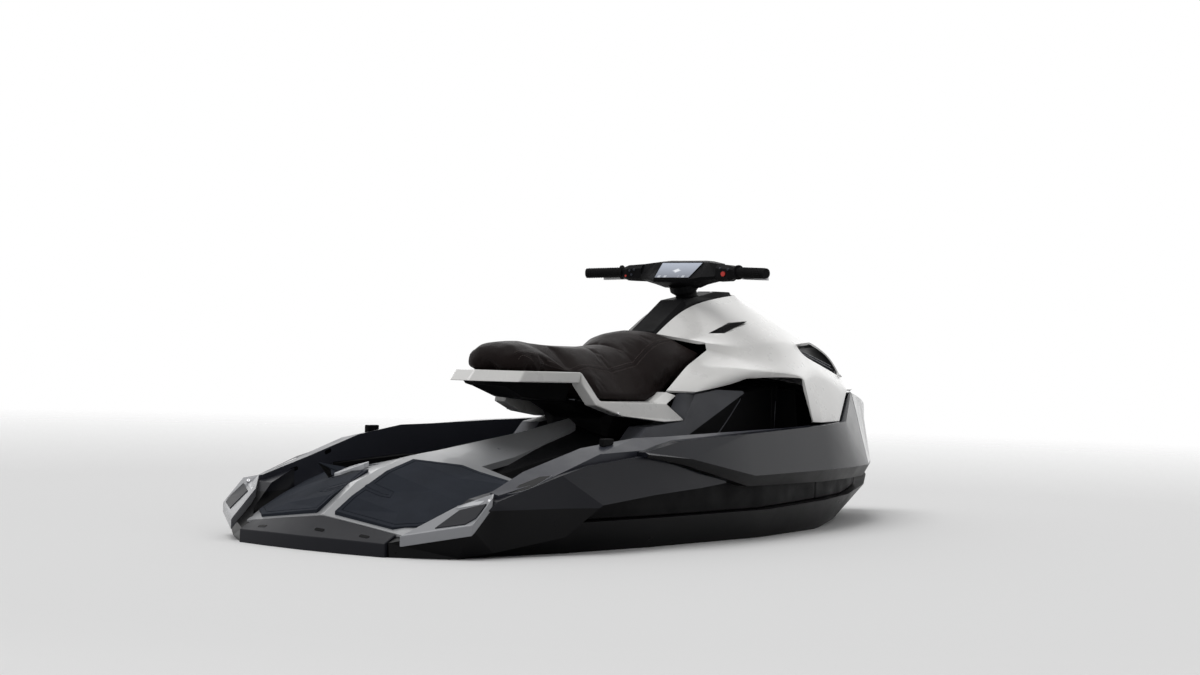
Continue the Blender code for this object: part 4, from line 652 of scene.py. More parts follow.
# How sharp a line of the hood is, from 0 to 1: points along it, sharpness
HOOD_CREASES = [
    ("crease 0, crease 1, crease 2, crease 3", 0.6),
    (VENT_RIM + ", vent 0", 1.0),
    ("bend top, bend low", 0.9),
    ("leg corner, inner top", 0.5),
    ("inner top, bend top", 0.3),
    ("bend top, outer top", 0.4),
    ("seat tip, valley", 0.5),
    ("seat mid, arm ridge, belly, leg corner", 0.7),
    ("ridge 0, ridge 1, ridge 2, ridge 3, ridge 4, ridge 5", 0.3),
    ("side 3, side 4, nose side", 0.3),
]
HOOD_CORNERS = (
    "spine low, seat tip, arm aft, arm low, under 2, inner low, bend low, "
    "outer low, outer top, nose side, vent 0, vent 1, vent 3, cowl front"
)
HOOD_WALL = 0.016
HOOD_EDGE = 0.003
# Hood slot: corners as shares of x and z, and how far out and in it is cut
SLOT_SHARES = [(0.133, 0.830), (0.179, 0.834), (0.274, 0.890), (0.219, 0.880)]
SLOT_OUT = 0.62
SLOT_IN = 0.20
SLOT_GAP = 0.001


def hood_cage():
    """Both halves of the hood as one sheet, with its creases."""
    bm = bmesh.new()
    edge_sharpness = bm.edges.layers.float.new("crease_edge")
    vert_sharpness = bm.verts.layers.float.new("crease_vert")
    verts = {}
    for side in SIDES.values():
        for name, shares in HOOD.items():
            on_centre = shares[1] == 0
            if on_centre and side == STARBOARD:
                verts[name, side] = verts[name, PORT]
            else:
                verts[name, side] = bm.verts.new(at(shares, side))
        for face in HOOD_FACES:
            loop = [verts[name, side] for name in face.split(", ")]
            if side == STARBOARD:
                loop.reverse()
            bm.faces.new(loop)
        for name in HOOD_CORNERS.split(", "):
            verts[name, side][vert_sharpness] = 1.0
        for line, sharpness in HOOD_CREASES:
            names = line.split(", ")
            for first, second in zip(names, names[1:]):
                edge = bm.edges.get((verts[first, side], verts[second, side]))
                edge[edge_sharpness] = sharpness
    bmesh.ops.recalc_face_normals(bm, faces=bm.faces[:])
    if sum(face.normal.z * face.calc_area() for face in bm.faces) < 0:
        bmesh.ops.reverse_faces(bm, faces=bm.faces[:])
    return bm


def slot_cutter(side):
    """Prism through the hood's side at its slot."""
    points = [at((x, SLOT_OUT, z), side) for x, z in SLOT_SHARES]
    centre = sum(points, Vector()) / len(points)
    points = [point + (point - centre).normalized() * SLOT_GAP for point in points]
    depth = (SLOT_OUT - SLOT_IN) * HALF_BEAM
    return from_bmesh("slot_cutter", block(points, (0, -side * depth, 0)), "white")


def hood_skin():
    """White hood in one piece, with an opening at each slot and vent."""
    item = from_bmesh("hood_skin", hood_cage(), "white")
    modifier(item, "SUBSURF", levels=4, render_levels=4, boundary_smooth="ALL")
    modifier(item, "SOLIDIFY", thickness=HOOD_WALL, offset=-1, use_even_offset=True, thickness_clamp=1)
    settled(item)
    cutters = [slot_cutter(side) for side in SIDES.values()]
    for cutter in cutters:
        modifier(item, "BOOLEAN", object=cutter, operation="DIFFERENCE", solver="EXACT")
        settled(item)
        bpy.data.objects.remove(cutter, do_unlink=True)
    steep = math.radians(45)
    modifier(item, "BEVEL", width=HOOD_EDGE, segments=2, limit_method="ANGLE", angle_limit=steep)
    settled(item)
    item.data.shade_smooth()
    modifier(item, "WEIGHTED_NORMAL", keep_sharp=False, weight=50)
    settled(item)
    return finished(item, "white", "hood_panel_port", "hood_panel_starboard")


SEAT_VOXEL = 0.0065
SEAT_SHRINK = 0.007
SEAT_CAP = 0.024
SEAT_PRESSURE = 4
SEAT_FRAMES = 20
# Foot of the seat that the cover is fixed to: all fixed up to the first height, none above both
PINNED_RISE = 0.01
PINNED_FADE = 0.02


def seat_cushion():
    """Upholstered saddle, blown up a little under its cover."""
    item = from_bmesh("seat_cushion", merged_copy("seat"), "vinyl")
    modifier(item, "REMESH", mode="VOXEL", voxel_size=SEAT_VOXEL)
    modifier(item, "SMOOTH", factor=0.5, iterations=16)
    modifier(item, "DISPLACE", strength=-SEAT_SHRINK, mid_level=0)
    settled(item)
    start = [vert.co.copy() for vert in item.data.vertices]
    floor_z = min(point.z for point in start)
    pinned = item.vertex_groups.new(name="pinned")
    for index, point in enumerate(start):
        held = 1 - (point.z - floor_z - PINNED_RISE) / PINNED_FADE
        pinned.add([index], min(1, max(0, held)), "REPLACE")
    cloth = item.modifiers.new("cover", "CLOTH")
    cloth.settings.quality = 5
    cloth.settings.use_pressure = True
    cloth.settings.uniform_pressure_force = SEAT_PRESSURE
    cloth.settings.effector_weights.gravity = 0
    cloth.settings.vertex_group_mass = "pinned"
    for step in range(1, SEAT_FRAMES + 1):
        bpy.context.scene.frame_set(step)
    settled(item)
    bpy.context.scene.frame_set(1)
    for vert, point in zip(item.data.vertices, start):
        moved = vert.co - point
        if moved.length > SEAT_CAP:
            vert.co = point + moved.normalized() * SEAT_CAP
    modifier(item, "SUBSURF", levels=1, render_levels=1)
    settled(item)
    item.data.shade_smooth()
    return finished(item, "vinyl", "seat")


DOWN = (0, 0, -1)
# Height over all pieces, for lines that go down on them
ABOVE = 2.0


def surface(item):
    """An object's faces, ready for lines to be cast on them."""
    corners = [item.matrix_world @ vert.co for vert in item.data.vertices]
    return BVHTree.FromPolygons(corners, [list(face.vertices) for face in item.data.polygons])


def touch(tree, start, direction):
    """Where a line from start meets a surface, and the way it faces there."""
    place, facing, _, _ = tree.ray_cast(Vector(start), Vector(direction))
    return place, facing


def mirrored(points, side):
    """Points given for the starboard side, put on the wanted side."""
    return [Vector((p[0], -p[1] * side, p[2])) for p in points]


def geometry_tree(name, shape):
    """A tree that sets one shape on every point, along the point's facing."""
    tree = bpy.data.node_groups.new(name, "GeometryNodeTree")
    sockets = tree.interface
    sockets.new_socket("Geometry", in_out="INPUT", socket_type="NodeSocketGeometry")
    sockets.new_socket("Geometry", in_out="OUTPUT", socket_type="NodeSocketGeometry")
    for size in ("Radius", "Height"):
        sockets.new_socket(size, in_out="INPUT", socket_type="NodeSocketFloat")
    sockets.new_socket("Finish", in_out="INPUT", socket_type="NodeSocketMaterial")
    given = tree.nodes.new("NodeGroupInput").outputs
    result = tree.nodes.new("NodeGroupOutput")

    def node(kind, settings=None, links=None):
        """Any node, with its settings and socket values."""
        made = tree.nodes.new(kind)
        for key, value in (settings or {}).items():
            setattr(made, key, value)
        for key, value in (links or {}).items():
            if isinstance(value, bpy.types.NodeSocket):
                tree.links.new(value, made.inputs[key])
            else:
                made.inputs[key].default_value = value
        return made.outputs[0]

    vector = {"data_type": "FLOAT_VECTOR"}
    facing = node("GeometryNodeInputNamedAttribute", vector, {"Name": "facing"})
    turn = node("FunctionNodeAlignRotationToVector", {"axis": "Z"}, {"Vector": facing})
    links = {"Points": given["Geometry"], "Instance": shape(node, given), "Rotation": turn}
    placed = node("GeometryNodeInstanceOnPoints", links=links)
    whole = node("GeometryNodeRealizeInstances", links={"Geometry": placed})
    paint = {"Geometry": whole, "Material": given["Finish"]}
    painted = node("GeometryNodeSetMaterial", links=paint)
    tree.links.new(painted, result.inputs["Geometry"])
    return tree


def scaled(node, socket, share):
    """A size's share."""
    return node("ShaderNodeMath", {"operation": "MULTIPLY"}, {0: socket, 1: share})


def screw_shape(node, given):
    """Button head with a hexagon socket."""
    radius = given["Radius"]
    height = given["Height"]
    top = scaled(node, radius, 0.7)
    sizes = {"Vertices": 16, "Radius Top": top, "Radius Bottom": radius, "Depth": height}
    head = node("GeometryNodeMeshCone", links=sizes)
    hexagon = {"Vertices": 6, "Radius": scaled(node, radius, 0.38), "Depth": height}
    socket = node("GeometryNodeMeshCylinder", links=hexagon)
    lift = node("ShaderNodeCombineXYZ", links={"Z": scaled(node, height, 0.6)})
    raised_socket = node("GeometryNodeTransform", links={"Geometry": socket, "Translation": lift})
    meshes = {"Mesh 1": head, "Mesh 2": raised_socket}
    return node("GeometryNodeMeshBoolean", {"operation": "DIFFERENCE"}, meshes)


def ring_shape(node, given):
    """Rubber rib round a grip."""
    round_grip = {"Resolution": 28, "Radius": given["Radius"]}
    path = node("GeometryNodeCurvePrimitiveCircle", links=round_grip)
    round_rib = {"Resolution": 6, "Radius": given["Height"]}
    section = node("GeometryNodeCurvePrimitiveCircle", links=round_rib)
    return node("GeometryNodeCurveToMesh", links={"Curve": path, "Profile Curve": section})


def stitch_shape(node, given):
    """One stitch, lying along the seam."""
    sizes = {"Vertices": 6, "Radius": given["Radius"], "Depth": given["Height"]}
    return node("GeometryNodeMeshCylinder", links=sizes)


def button_shape(node, given):
    """Round button with a tapered edge."""
    radius = given["Radius"]
    sizes = {"Vertices": 18, "Radius Bottom": radius, "Depth": given["Height"]}
    sizes["Radius Top"] = scaled(node, radius, 0.82)
    return node("GeometryNodeMeshCone", links=sizes)


SLAT_THICK = 0.0014


def slat_shape(node, given):
    """Thin fin that stands out of a grille."""
    sizes = {"X": given["Radius"], "Y": SLAT_THICK, "Z": given["Height"]}
    size = node("ShaderNodeCombineXYZ", links=sizes)
    return node("GeometryNodeMeshCube", links={"Size": size})


TREES = {
    "screw": geometry_tree("screw_heads", screw_shape),
    "rib": geometry_tree("grip_ribs", ring_shape),
    "stitch": geometry_tree("seam_stitches", stitch_shape),
    "button": geometry_tree("switch_buttons", button_shape),
    "slat": geometry_tree("grille_slats", slat_shape),
}


def repeated(name, kind, spots, radius, height, finish, body="root"):
    """One plain mesh with the kind's shape on every spot, a place and a facing."""
    mesh = bpy.data.meshes.new(name)
    mesh.from_pydata([place for place, _ in spots], [], [])
    facing = mesh.attributes.new("facing", "FLOAT_VECTOR", "POINT")
    for index, (_, way) in enumerate(spots):
        facing.data[index].vector = way
    item = add_object(name, mesh)
    holder = item.modifiers.new(kind, "NODES")
    tree = TREES[kind]
    wanted = {"Radius": radius, "Height": height, "Finish": MATERIALS[finish]}
    holder.node_group = tree
    for entry in tree.interface.items_tree:
        if entry.in_out == "INPUT" and entry.name in wanted:
            holder[entry.identifier] = wanted[entry.name]
    settled(item)
    return finished(item, finish, body=body)


# Screws: node, where a line starts, the way it goes, head radius
SCREWS = [
    ("corner_plate_starboard", (-1.36, -0.335, 0.4), DOWN, 0.0065),
    ("corner_plate_starboard", (-1.245, -0.452, 0.4), DOWN, 0.0065),
    ("ride_plate", (-1.20, -0.09, -0.6), (0, 0, 1), 0.007),
    ("ride_plate", (-1.00, -0.09, -0.6), (0, 0, 1), 0.007),
    ("ride_plate", (-1.38, -0.09, -0.6), (0, 0, 1), 0.007),
    ("rear_deck", (-1.00, -0.402, 0.6), DOWN, 0.006),
    ("console", (0.32, -0.06, 1.2), DOWN, 0.004),
    ("spine_cowl", (0.40, -0.028, 1.2), DOWN, 0.0045),
    ("hull", (-0.40, -0.30, -0.6), (0, 0, 1), 0.006),
    ("side_frame_starboard", (-0.36, -0.6, 0.372), (0, 1, 0), 0.0045),
]
SCREW_HEIGHT_SHARE = 0.6
# Screws are named by their radius in tenths of a millimetre
SCREW_NAME_STEP = 0.0001


def screws():
    """Screws on both sides, one piece for each body and size."""
    by_body = {}
    for node, start, way, radius in SCREWS:
        for side in SIDES.values():
            owner = node.replace("starboard", "port") if side == PORT else node
            start_here, way_here = mirrored([start, way], side)
            spot = touch(surface(NODES[owner]), start_here, way_here)
            body = "steering" if node == "console" else "root"
            if spot[0] is not None:
                by_body.setdefault((body, radius), []).append(spot)
    for (body, radius), spots in by_body.items():
        name = "screws_%s_%d" % (body, round(radius / SCREW_NAME_STEP))
        repeated(name, "screw", spots, radius, radius * SCREW_HEIGHT_SHARE, "screw", body)


OVAL_STEPS = 16
# How far a slot's black face, painted shade where the opening is, stands out of the panel, and reaches
# into it
SLOT_PROUD = 0.0006
SLOT_ROOT = 0.002


def oval(centre, facing, along, length, width):
    """Long round-ended slot of a given size on a surface."""
    along = (along - facing * along.dot(facing)).normalized()
    across = facing.cross(along)
    outline = []
    for k in range(OVAL_STEPS):
        turn = math.tau * (k + 0.5) / OVAL_STEPS
        reach = math.copysign((length - width) / 2, math.cos(turn)) + math.cos(turn) * width / 2
        aside = math.sin(turn) * width / 2
        outline.append(centre + along * reach + across * aside + facing * SLOT_PROUD)
    return block(outline, -facing * (SLOT_PROUD + SLOT_ROOT))


# Slots as black faces of painted shade: node, where a line starts, the way it goes, the slot's run,
# length, width
SLOTS_IN_PANELS = [
    ("stern_bumper", (-1.444, -0.032, 0.4), DOWN, (0, 1, 0), 0.034, 0.011),
    ("stern_bumper", (-1.438, -0.19, 0.4), DOWN, (0, 1, 0), 0.034, 0.011),
    ("stern_bumper", (-1.438, 0.19, 0.4), DOWN, (0, 1, 0), 0.034, 0.011),
    ("gunwale_port", (-0.96, 0.2, 0.235), (0, 1, 0), (1, 0, 0.3), 0.030, 0.012),
    ("gunwale_port", (-1.10, 0.2, 0.185), (0, 1, 0), (1, 0, 0.3), 0.030, 0.012),
    ("gunwale_starboard", (-0.96, -0.2, 0.235), (0, -1, 0), (1, 0, 0.3), 0.030, 0.012),
    ("gunwale_starboard", (-1.10, -0.2, 0.185), (0, -1, 0), (1, 0, 0.3), 0.030, 0.012),
    ("tow_plate", (-1.095, 0.135, 0.5), DOWN, (0, 1, 0), 0.050, 0.010),
    ("tow_plate", (-1.070, 0.140, 0.5), DOWN, (0, 1, 0), 0.050, 0.010),
]


def painted_slot_shade():
    """Black faces of painted shade at the slots in the stern rim, gunwales and tow plate."""
    parts = []
    for node, start, way, run, length, width in SLOTS_IN_PANELS:
        place, facing = touch(surface(NODES[node]), start, way)
        if place is not None:
            parts.append(oval(place, facing, Vector(run), length, width))
    item = joined("panel_slot_shade", parts, "lens")
    finished(item, "lens")


# Inlays of the stern corners on the starboard side, as points in metres; the pad's are x and y
SCOOP = [
    (-1.182, -0.4590, 0.1690), (-1.119, -0.4541, 0.1920), (-1.044, -0.4617, 0.2118),
    (-1.017, -0.4819, 0.2150), (-1.101, -0.4860, 0.1870), (-1.155, -0.4780, 0.1740),
]
SLIVER = [
    (-1.297, -0.3835, 0.1297), (-1.265, -0.4041, 0.1456),
    (-1.222, -0.4360, 0.1620), (-1.261, -0.4354, 0.1424),
]
PAD = [(-1.378, -0.383), (-1.334, -0.448), (-1.306, -0.460), (-1.258, -0.458), (-1.298, -0.397)]
PAD_LIFT = 0.0024
SCOOP_LIFT = 0.0012
SLIVER_LIFT = 0.0016
INLAY_ROOT = 0.006
INLAY_EDGE = 0.0008
LIP_RADIUS = 0.0018


def inlay(points, finish, name, lift, side):
    """Thin plate let into a panel, lifted a little out of it."""
    places = mirrored(points, side)
    facing = (places[2] - places[0]).cross(places[3] - places[1]).normalized()
    if facing.z < 0:
        facing = -facing
    lifted = [place + facing * lift for place in places]
    item = from_bmesh(name, block(lifted, -facing * (lift + INLAY_ROOT)), finish)
    softened(item, INLAY_EDGE, 2)
    finished(item, finish)


def stern_inlays():
    """Scoops with a lip in the gunwales, slivers and pads on the corner plates."""
    for name, side in SIDES.items():
        inlay(SCOOP, "lens", "gunwale_scoop_" + name, SCOOP_LIFT, side)
        lip = mirrored([SCOOP[0], SCOOP[5], SCOOP[4], SCOOP[3]], side)
        bead = raised(smooth_path(lip), round_section(LIP_RADIUS))
        edge = from_bmesh("scoop_lip_" + name, bead, "side_panel")
        edge.data.shade_smooth()
        finished(edge, "side_panel")
        inlay(SLIVER, "silver", "corner_sliver_" + name, SLIVER_LIFT, side)
    for name, side in SIDES.items():
        plate = surface(NODES["corner_plate_" + name])
        spots = [touch(plate, (x, -y * side, ABOVE), DOWN) for x, y in PAD]
        corners = [place + facing * PAD_LIFT for place, facing in spots]
        shape = block(corners, -spots[0][1] * PAD_LIFT * 2)
        pad = from_bmesh("corner_pad_" + name, shape, "side_grey")
        softened(pad, PAD_LIFT / 3, 2)
        finished(pad, "side_grey")


# Piping on the footwell wall and the seam of its front wall, starboard side, metres
PIPING = [
    (0.280, -0.2300, 0.4380), (0.268, -0.2454, 0.4200), (0.243, -0.2458, 0.3950),
    (0.188, -0.2463, 0.3455), (0.120, -0.2475, 0.2900),
]
FRONT_SEAM = [(0.4775, -0.2508, 0.4140), (0.4755, -0.2508, 0.3700), (0.4735, -0.2508, 0.3200)]
PIPING_RADIUS = 0.0022


def footwell_trim():
    """Light piping in both footwells."""
    parts = []
    section = round_section(PIPING_RADIUS)
    for side in SIDES.values():
        for path in (smooth_path(mirrored(PIPING, side)), mirrored(FRONT_SEAM, side)):
            parts.append(raised(path, section, up=Vector((0, 1, 0))))
    item = joined("footwell_trim", parts, "side_panel")
    item.data.shade_smooth()
    finished(item, "side_panel")


# Bowl of a nose vent: size share, depth
VENT_RINGS = [(0.985, 0.004), (0.95, 0.012), (0.78, 0.024), (0.45, 0.032)]
# Blades across the bowl: share of the way down it at the aft end and at the nose
VENT_BLADES = [(0.30, 0.42), (0.58, 0.62)]
BOWL_WALL = 0.003
BLADE_DEPTH = 0.012
BLADE_BELLY = 0.015
BLADE_HALF = 0.0012
BLADE_REACH = 0.005


def nose_vent(name, side):
    """Black bowl behind the hood's opening, with two blades in a lighter grey that paints the highlight
    line along the vent.
    """
    rim = [at(HOOD[key], side) for key in VENT_RIM.split(", ")]
    centre = sum(rim, Vector()) / len(rim)
    inward = -(rim[1] - rim[6]).cross(rim[4] - rim[0]).normalized()
    if inward.y * side > 0:
        inward = -inward
    bm = bmesh.new()
    rings = []
    for share, depth in VENT_RINGS:
        rings.append([bm.verts.new(centre + (p - centre) * share + inward * depth) for p in rim])
    bridged(bm, zip(rings, rings[1:]), len(rim))
    bm.faces.new(rings[-1])
    bmesh.ops.recalc_face_normals(bm, faces=bm.faces[:])
    if sum(face.normal.dot(inward) for face in bm.faces) > 0:
        bmesh.ops.reverse_faces(bm, faces=bm.faces[:])
    item = from_bmesh("nose_vent_bowl_" + name, bm, "lens")
    modifier(item, "SUBSURF", levels=2, render_levels=2)
    modifier(item, "SOLIDIFY", thickness=BOWL_WALL, offset=-1)
    settled(item)
    item.data.shade_smooth()
    finished(item, "lens", "nose_vent_" + name)
    blades = []
    section = flat_section(BLADE_HALF, BLADE_HALF, BLADE_REACH)
    for aft, fore in VENT_BLADES:
        start = rim[0].lerp(rim[7], aft * 1.2).lerp(centre, 0.16) + inward * BLADE_DEPTH
        middle = centre + (rim[5] - centre) * (aft - 0.35) + inward * BLADE_BELLY
        end = rim[3].lerp(rim[4], fore).lerp(centre, 0.14) + inward * BLADE_DEPTH
        blades.append(raised(smooth_path([start, middle, end]), section, up=inward))
    # The blades' lighter grey is a painted highlight along the vent
    vanes = joined("nose_vent_blades_" + name, blades, "side_panel")
    finished(vanes, "side_panel")


SLAT_COUNT = 9
# First slat and room after the last, in slat spacings
SLAT_START = 0.7
SLAT_SPARE = 0.4
SLAT_WIDTH = 0.0040
SLAT_HEIGHT = 0.0050
# Share of the half beam that lies outside the hood
OUTSIDE = 1.2


def hood_slot_slats():
    """Fins in the slots of the hood's sides."""
    spots = []
    first = (Vector(SLOT_SHARES[0]) + Vector(SLOT_SHARES[1])) / 2
    last = (Vector(SLOT_SHARES[2]) + Vector(SLOT_SHARES[3])) / 2
    for name, side in SIDES.items():
        slot = surface(NODES["hood_slot_" + name])
        for k in range(SLAT_COUNT):
            x, z = first.lerp(last, (k + SLAT_START) / (SLAT_COUNT + SLAT_SPARE))
            spot = touch(slot, at((x, OUTSIDE, z), side), (0, -side, 0))
            if spot[0] is not None:
                spots.append(spot)
    repeated("hood_slot_slats", "slat", spots, SLAT_WIDTH, SLAT_HEIGHT, "satin_black")


MAT_TOP_FACES_UP = 0.75
# From a mat's edge to its middle: width, rise
MAT_BORDER = [(0.012, 0.0), (0.0012, -0.0018), (0.0014, 0.0), (0.0012, 0.0018)]
MAT_EDGE = 0.0015


def bordered_mat(node):
    """Foam mat with a groove pressed in along its edge."""
    bm = merged_copy(node)
    bm.normal_update()
    top = [face for face in bm.faces if face.normal.z > MAT_TOP_FACES_UP]
    for width, depth in MAT_BORDER:
        bmesh.ops.inset_region(bm, faces=top, thickness=width, depth=depth, use_even_offset=True)
    item = from_bmesh(node + "_foam", bm, "mat")
    steep = math.radians(50)
    modifier(item, "BEVEL", width=MAT_EDGE, segments=2, limit_method="ANGLE", angle_limit=steep)
    settled(item)
    finished(item, "mat", node)


MAT_REACH_UP = 0.03
# Foam over the deck's ridge at the mats' inner edge, starboard side, metres
RIDGE_FOAM = [
    (-1.2750, -0.0344, 0.1686), (-1.2702, -0.0344, 0.1712), (-1.2632, -0.0344, 0.1738),
    (-1.2640, -0.1120, 0.1532), (-1.2700, -0.1170, 0.1504), (-1.2748, -0.1010, 0.1512),
]
RIDGE_FOAM_DEPTH = 0.004
DECK_EDGE = 0.004


def rear_deck_skin():
    """Deck with its ridge taken down where the mats lie."""
    item = from_bmesh("rear_deck_skin", merged_copy("rear_deck"), "deck_silver")
    for name in SIDES:
        bm = merged_copy("rear_mat_" + name)
        bm.normal_update()
        top = [face for face in bm.faces if face.normal.z > MAT_TOP_FACES_UP]
        for vert in {vert for face in top for vert in face.verts}:
            vert.co.z += MAT_REACH_UP
        cutter = from_bmesh("mat_space_" + name, bm, "mat")
        modifier(item, "BOOLEAN", operation="DIFFERENCE", solver="EXACT", object=cutter)
        settled(item)
        bpy.data.objects.remove(cutter)
    softened(item, DECK_EDGE)
    finished(item, "deck_silver", "rear_deck")
    for name, side in SIDES.items():
        fill = block(mirrored(RIDGE_FOAM, side), Vector((0, 0, -RIDGE_FOAM_DEPTH)))
        finished(from_bmesh("ridge_foam_" + name, fill, "mat"), "mat")


# Grip axis: inner and outer end on the port side
GRIP_ENDS = (Vector((0.2508, 0.244, 0.8325)), Vector((0.2210, 0.360, 0.8280)))
GRIP_RADIUS = 0.0165
GRIP_RIBS = 13
RIB_HEIGHT = 0.0011


def grip_ribs():
    """Ribs round both grips."""
    spots = []
    for side in SIDES.values():
        inner, outer = (Vector((p.x, p.y * side, p.z)) for p in GRIP_ENDS)
        way = (outer - inner).normalized()
        for k in range(GRIP_RIBS):
            spots.append((inner.lerp(outer, (k + 1) / (GRIP_RIBS + 1)), way))
    repeated("grip_ribs", "rib", spots, GRIP_RADIUS, RIB_HEIGHT, "grip_rubber", "steering")


# Screen's upper and lower corner to port, and half the bezel's width and depth
SCREEN_TOP = Vector((0.2722, 0.082, 0.8651))
SCREEN_LOW = Vector((0.2070, 0.070, 0.8110))
BEZEL_HALF = 0.0022
BEZEL_RISE = 0.0026
# Buttons on the pods: side, distance along the bar, height
POD_BUTTONS = [
    ("port", 0.176, 0.842),
    ("port", 0.192, 0.838),
    ("port", 0.184, 0.824),
    ("starboard", 0.172, 0.845),
    ("starboard", 0.206, 0.842),
]
RED_BUTTON = ("port", 0.206, 0.820)
# Sizes of the grey buttons and the red one: radius, rise
BUTTON_SIZE = (0.0046, 0.0030)
RED_SIZE = (0.0040, 0.0024)
# Distance forward of the origin that lies behind the pods
BEHIND_PODS = 0.1


def on_pod(name, across, height):
    """A button's place on a pod's aft face."""
    pod = surface(NODES["switch_pod_" + name])
    return touch(pod, (BEHIND_PODS, across * SIDES[name], height), (1, 0, 0))


def controls():
    """Bezel round the display, and the buttons on the pods."""
    corners = [SCREEN_TOP, *mirrored([SCREEN_TOP, SCREEN_LOW], PORT), SCREEN_LOW]
    facing = (corners[1] - corners[0]).cross(corners[3] - corners[0]).normalized()
    if facing.x > 0:
        facing = -facing
    section = flat_section(BEZEL_HALF, BEZEL_HALF / 2, BEZEL_RISE)
    bezel = from_bmesh("screen_bezel", raised(corners, section, True, facing), "satin_black")
    finished(bezel, "satin_black", body="steering")
    found = [on_pod(*row) for row in POD_BUTTONS]
    spots = [spot for spot in found if spot[0] is not None]
    repeated("pod_buttons", "button", spots, *BUTTON_SIZE, "strip_grey", "steering")
    repeated("pod_accent", "button", [on_pod(*RED_BUTTON)], *RED_SIZE, "red", "steering")


# Seam of the seat: x share, y share; the same on both sides
SEAM_SHARES = [
    (-0.488, 0.150), (-0.440, 0.180), (-0.380, 0.195), (-0.300, 0.225), (-0.200, 0.235),
    (-0.120, 0.235), (-0.060, 0.225), (0.000, 0.215), (0.050, 0.210),
]
SEAM_RADIUS = 0.0016
STITCH_GAP = 0.0075
STITCH_LENGTH = 0.0048
STITCH_RADIUS = 0.0006
STITCH_OFFSET = 0.006
# Share of a bead's or stitch's radius that lies in the cover
SUNK = 0.4
SEAM_STEPS = 14
STITCH_STEPS = 6


def stitch_spots(cover, guide, aside):
    """Places and ways of the stitches in one row beside a seam."""
    spots = []
    travelled = 0.0
    last = None
    for first, second in zip(guide, guide[1:]):
        for k in range(STITCH_STEPS):
            point = first.lerp(second, k / STITCH_STEPS)
            place, facing = touch(cover, (point.x, point.y + aside, ABOVE), DOWN)
            if place is None:
                continue
            if last is not None:
                travelled += (place - last).length
                if travelled >= STITCH_GAP:
                    way = (place - last).normalized()
                    spots.append((place + facing * STITCH_RADIUS * SUNK, way))
                    travelled = 0.0
            last = place
    return spots


def seat_seams(cushion):
    """A bead along each side of the seat, between two rows of stitches."""
    cover = surface(cushion)
    beads = []
    spots = []
    for side in SIDES.values():
        guide = smooth_path([at((x, y, 0), side) for x, y in SEAM_SHARES], SEAM_STEPS)
        run = []
        for point in guide:
            place, facing = touch(cover, (point.x, point.y, ABOVE), DOWN)
            if place is not None:
                run.append(place - facing * SEAM_RADIUS * SUNK)
        beads.append(raised(run, round_section(SEAM_RADIUS)))
        for aside in (-STITCH_OFFSET, STITCH_OFFSET):
            spots += stitch_spots(cover, guide, aside)
    piping = joined("seat_piping", beads, "vinyl")
    piping.data.shade_smooth()
    finished(piping, "vinyl")
    repeated("seat_stitches", "stitch", spots, STITCH_RADIUS, STITCH_LENGTH, "thread")


moulded_pieces()
hood_skin()
seat_seams(seat_cushion())
for side_name, side_sign in SIDES.items():
    nose_vent(side_name, side_sign)
    bordered_mat("rear_mat_" + side_name)
    bordered_mat("well_mat_" + side_name)
rear_deck_skin()
hood_slot_slats()
stern_inlays()
painted_slot_shade()
footwell_trim()
grip_ribs()
controls()
screws()


# Lamps: name, direction it comes from, strength, angle across in degrees
SUNS = [
    ("key sun", (-0.35, 0.15, 1.0), 1.35, 45),
    ("back sun", (0.8, 0.5, 0.45), 0.5, 60),
    ("side sun", (-0.5, -1.0, 0.35), 0.25, 70),
]
AMBIENT = 0.30


def studio_world():
    """White to the eye and in gloss, and an even dim light on the object."""
    world = bpy.data.worlds.new("studio")
    bpy.context.scene.world = world
    world.use_nodes = True
    tree = world.node_tree
    background = tree.nodes["Background"]
    background.inputs["Color"].default_value = (1, 1, 1, 1)
    rays = tree.nodes.new("ShaderNodeLightPath")
    seen = rays.outputs["Is Camera Ray"]
    for name in ("Is Glossy Ray", "Is Transmission Ray"):
        larger = tree.nodes.new("ShaderNodeMath")
        larger.operation = "MAXIMUM"
        tree.links.new(seen, larger.inputs[0])
        tree.links.new(rays.outputs[name], larger.inputs[1])
        seen = larger.outputs[0]
    level = tree.nodes.new("ShaderNodeMapRange")
    level.inputs["To Min"].default_value = AMBIENT
    tree.links.new(seen, level.inputs["Value"])
    tree.links.new(level.outputs[0], background.inputs["Strength"])


def sun(name, comes_from, strength, angle_deg):
    """A wide soft lamp."""
    data = bpy.data.lights.new(name, "SUN")
    data.energy = strength
    data.angle = math.radians(angle_deg)
    lamp = bpy.data.objects.new(name, data)
    bpy.context.collection.objects.link(lamp)
    lamp.rotation_euler = Vector(comes_from).to_track_quat("Z", "Y").to_euler()


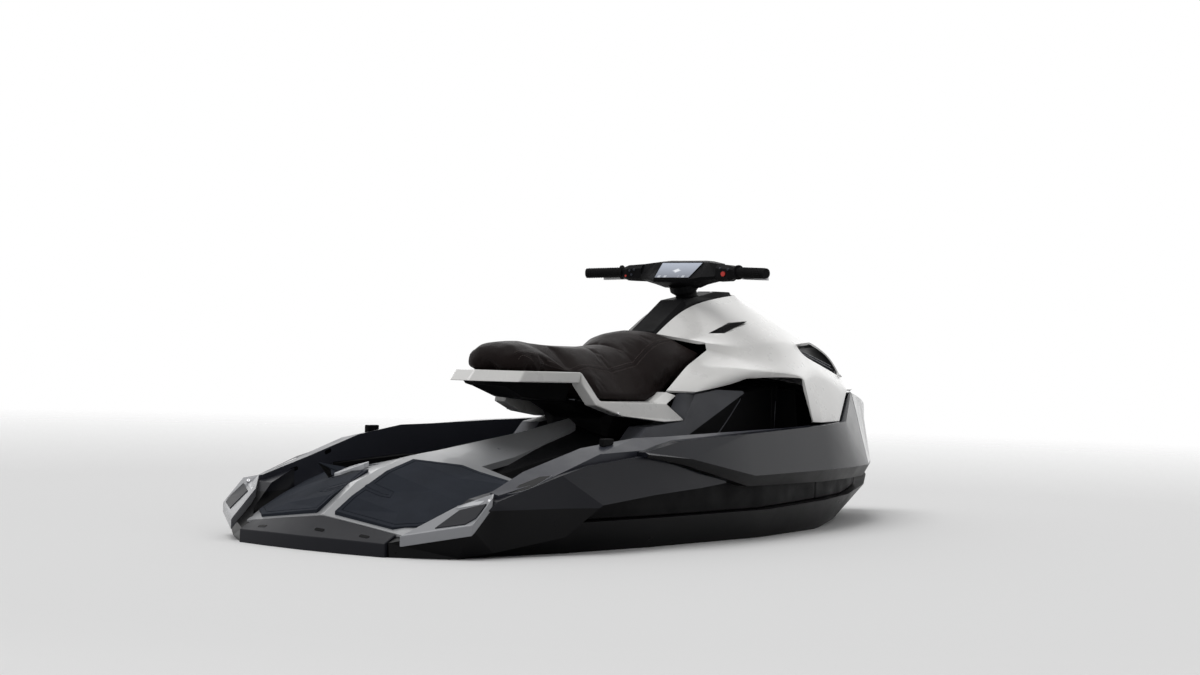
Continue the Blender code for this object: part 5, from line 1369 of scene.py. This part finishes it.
FLOOR_PAINT = (0.86, 0.86, 0.86)
# Distance from the craft at which the floor starts to fade, and is gone
FLOOR_SOLID = 3.0
FLOOR_GONE = 11.0
FLOOR_HALF = 40


def floor():
    """Pale floor at the waterline, clear from below and fading out far away."""
    bm = bmesh.new()
    bmesh.ops.create_grid(bm, x_segments=1, y_segments=1, size=FLOOR_HALF)
    plane = from_bmesh("floor", bm, "white")
    finish = Finish("floor_paint", FLOOR_PAINT, 0.9, Specular_IOR_Level=0.1)
    backfacing = finish.node("ShaderNodeNewGeometry", output="Backfacing")
    away = finish.node("ShaderNodeVectorMath", {"operation": "LENGTH"}, [finish.place], "Value")
    hidden = backfacing.maths("MAXIMUM", finish.spread(away, FLOOR_SOLID, FLOOR_GONE))
    clear = finish.node("ShaderNodeBsdfTransparent")
    painted = Value(finish, finish.shader.outputs[0])
    mixed = finish.node("ShaderNodeMixShader", sockets=[hidden, painted, clear])
    finish.tree.links.new(mixed.socket, finish.tree.nodes["Material Output"].inputs["Surface"])
    plane.data.materials.clear()
    plane.data.materials.append(finish.material)


def camera():
    """The camera that took the photo, in the craft's frame."""
    heading, pitch, roll = (math.radians(a) for a in (HEADING_DEG, PITCH_DEG, ROLL_DEG))
    level = math.cos(pitch)
    ahead = Vector((math.cos(heading) * level, math.sin(heading) * level, math.sin(pitch)))
    right = Vector((math.sin(heading), -math.cos(heading), 0))
    up = right.cross(ahead)
    right_rolled = right * math.cos(roll) + up * math.sin(roll)
    up_rolled = up * math.cos(roll) - right * math.sin(roll)
    data = bpy.data.cameras.new("camera")
    data.sensor_width = SENSOR_MM
    data.lens = LENS_MM
    eye = bpy.data.objects.new("camera", data)
    bpy.context.collection.objects.link(eye)
    turned = Matrix((right_rolled, up_rolled, -ahead)).transposed().to_4x4()
    eye.matrix_world = Matrix.Translation(EYE) @ turned
    bpy.context.scene.camera = eye


bpy.context.scene.view_settings.view_transform = "Standard"
studio_world()
floor()
camera()
for lamp_row in SUNS:
    sun(*lamp_row)
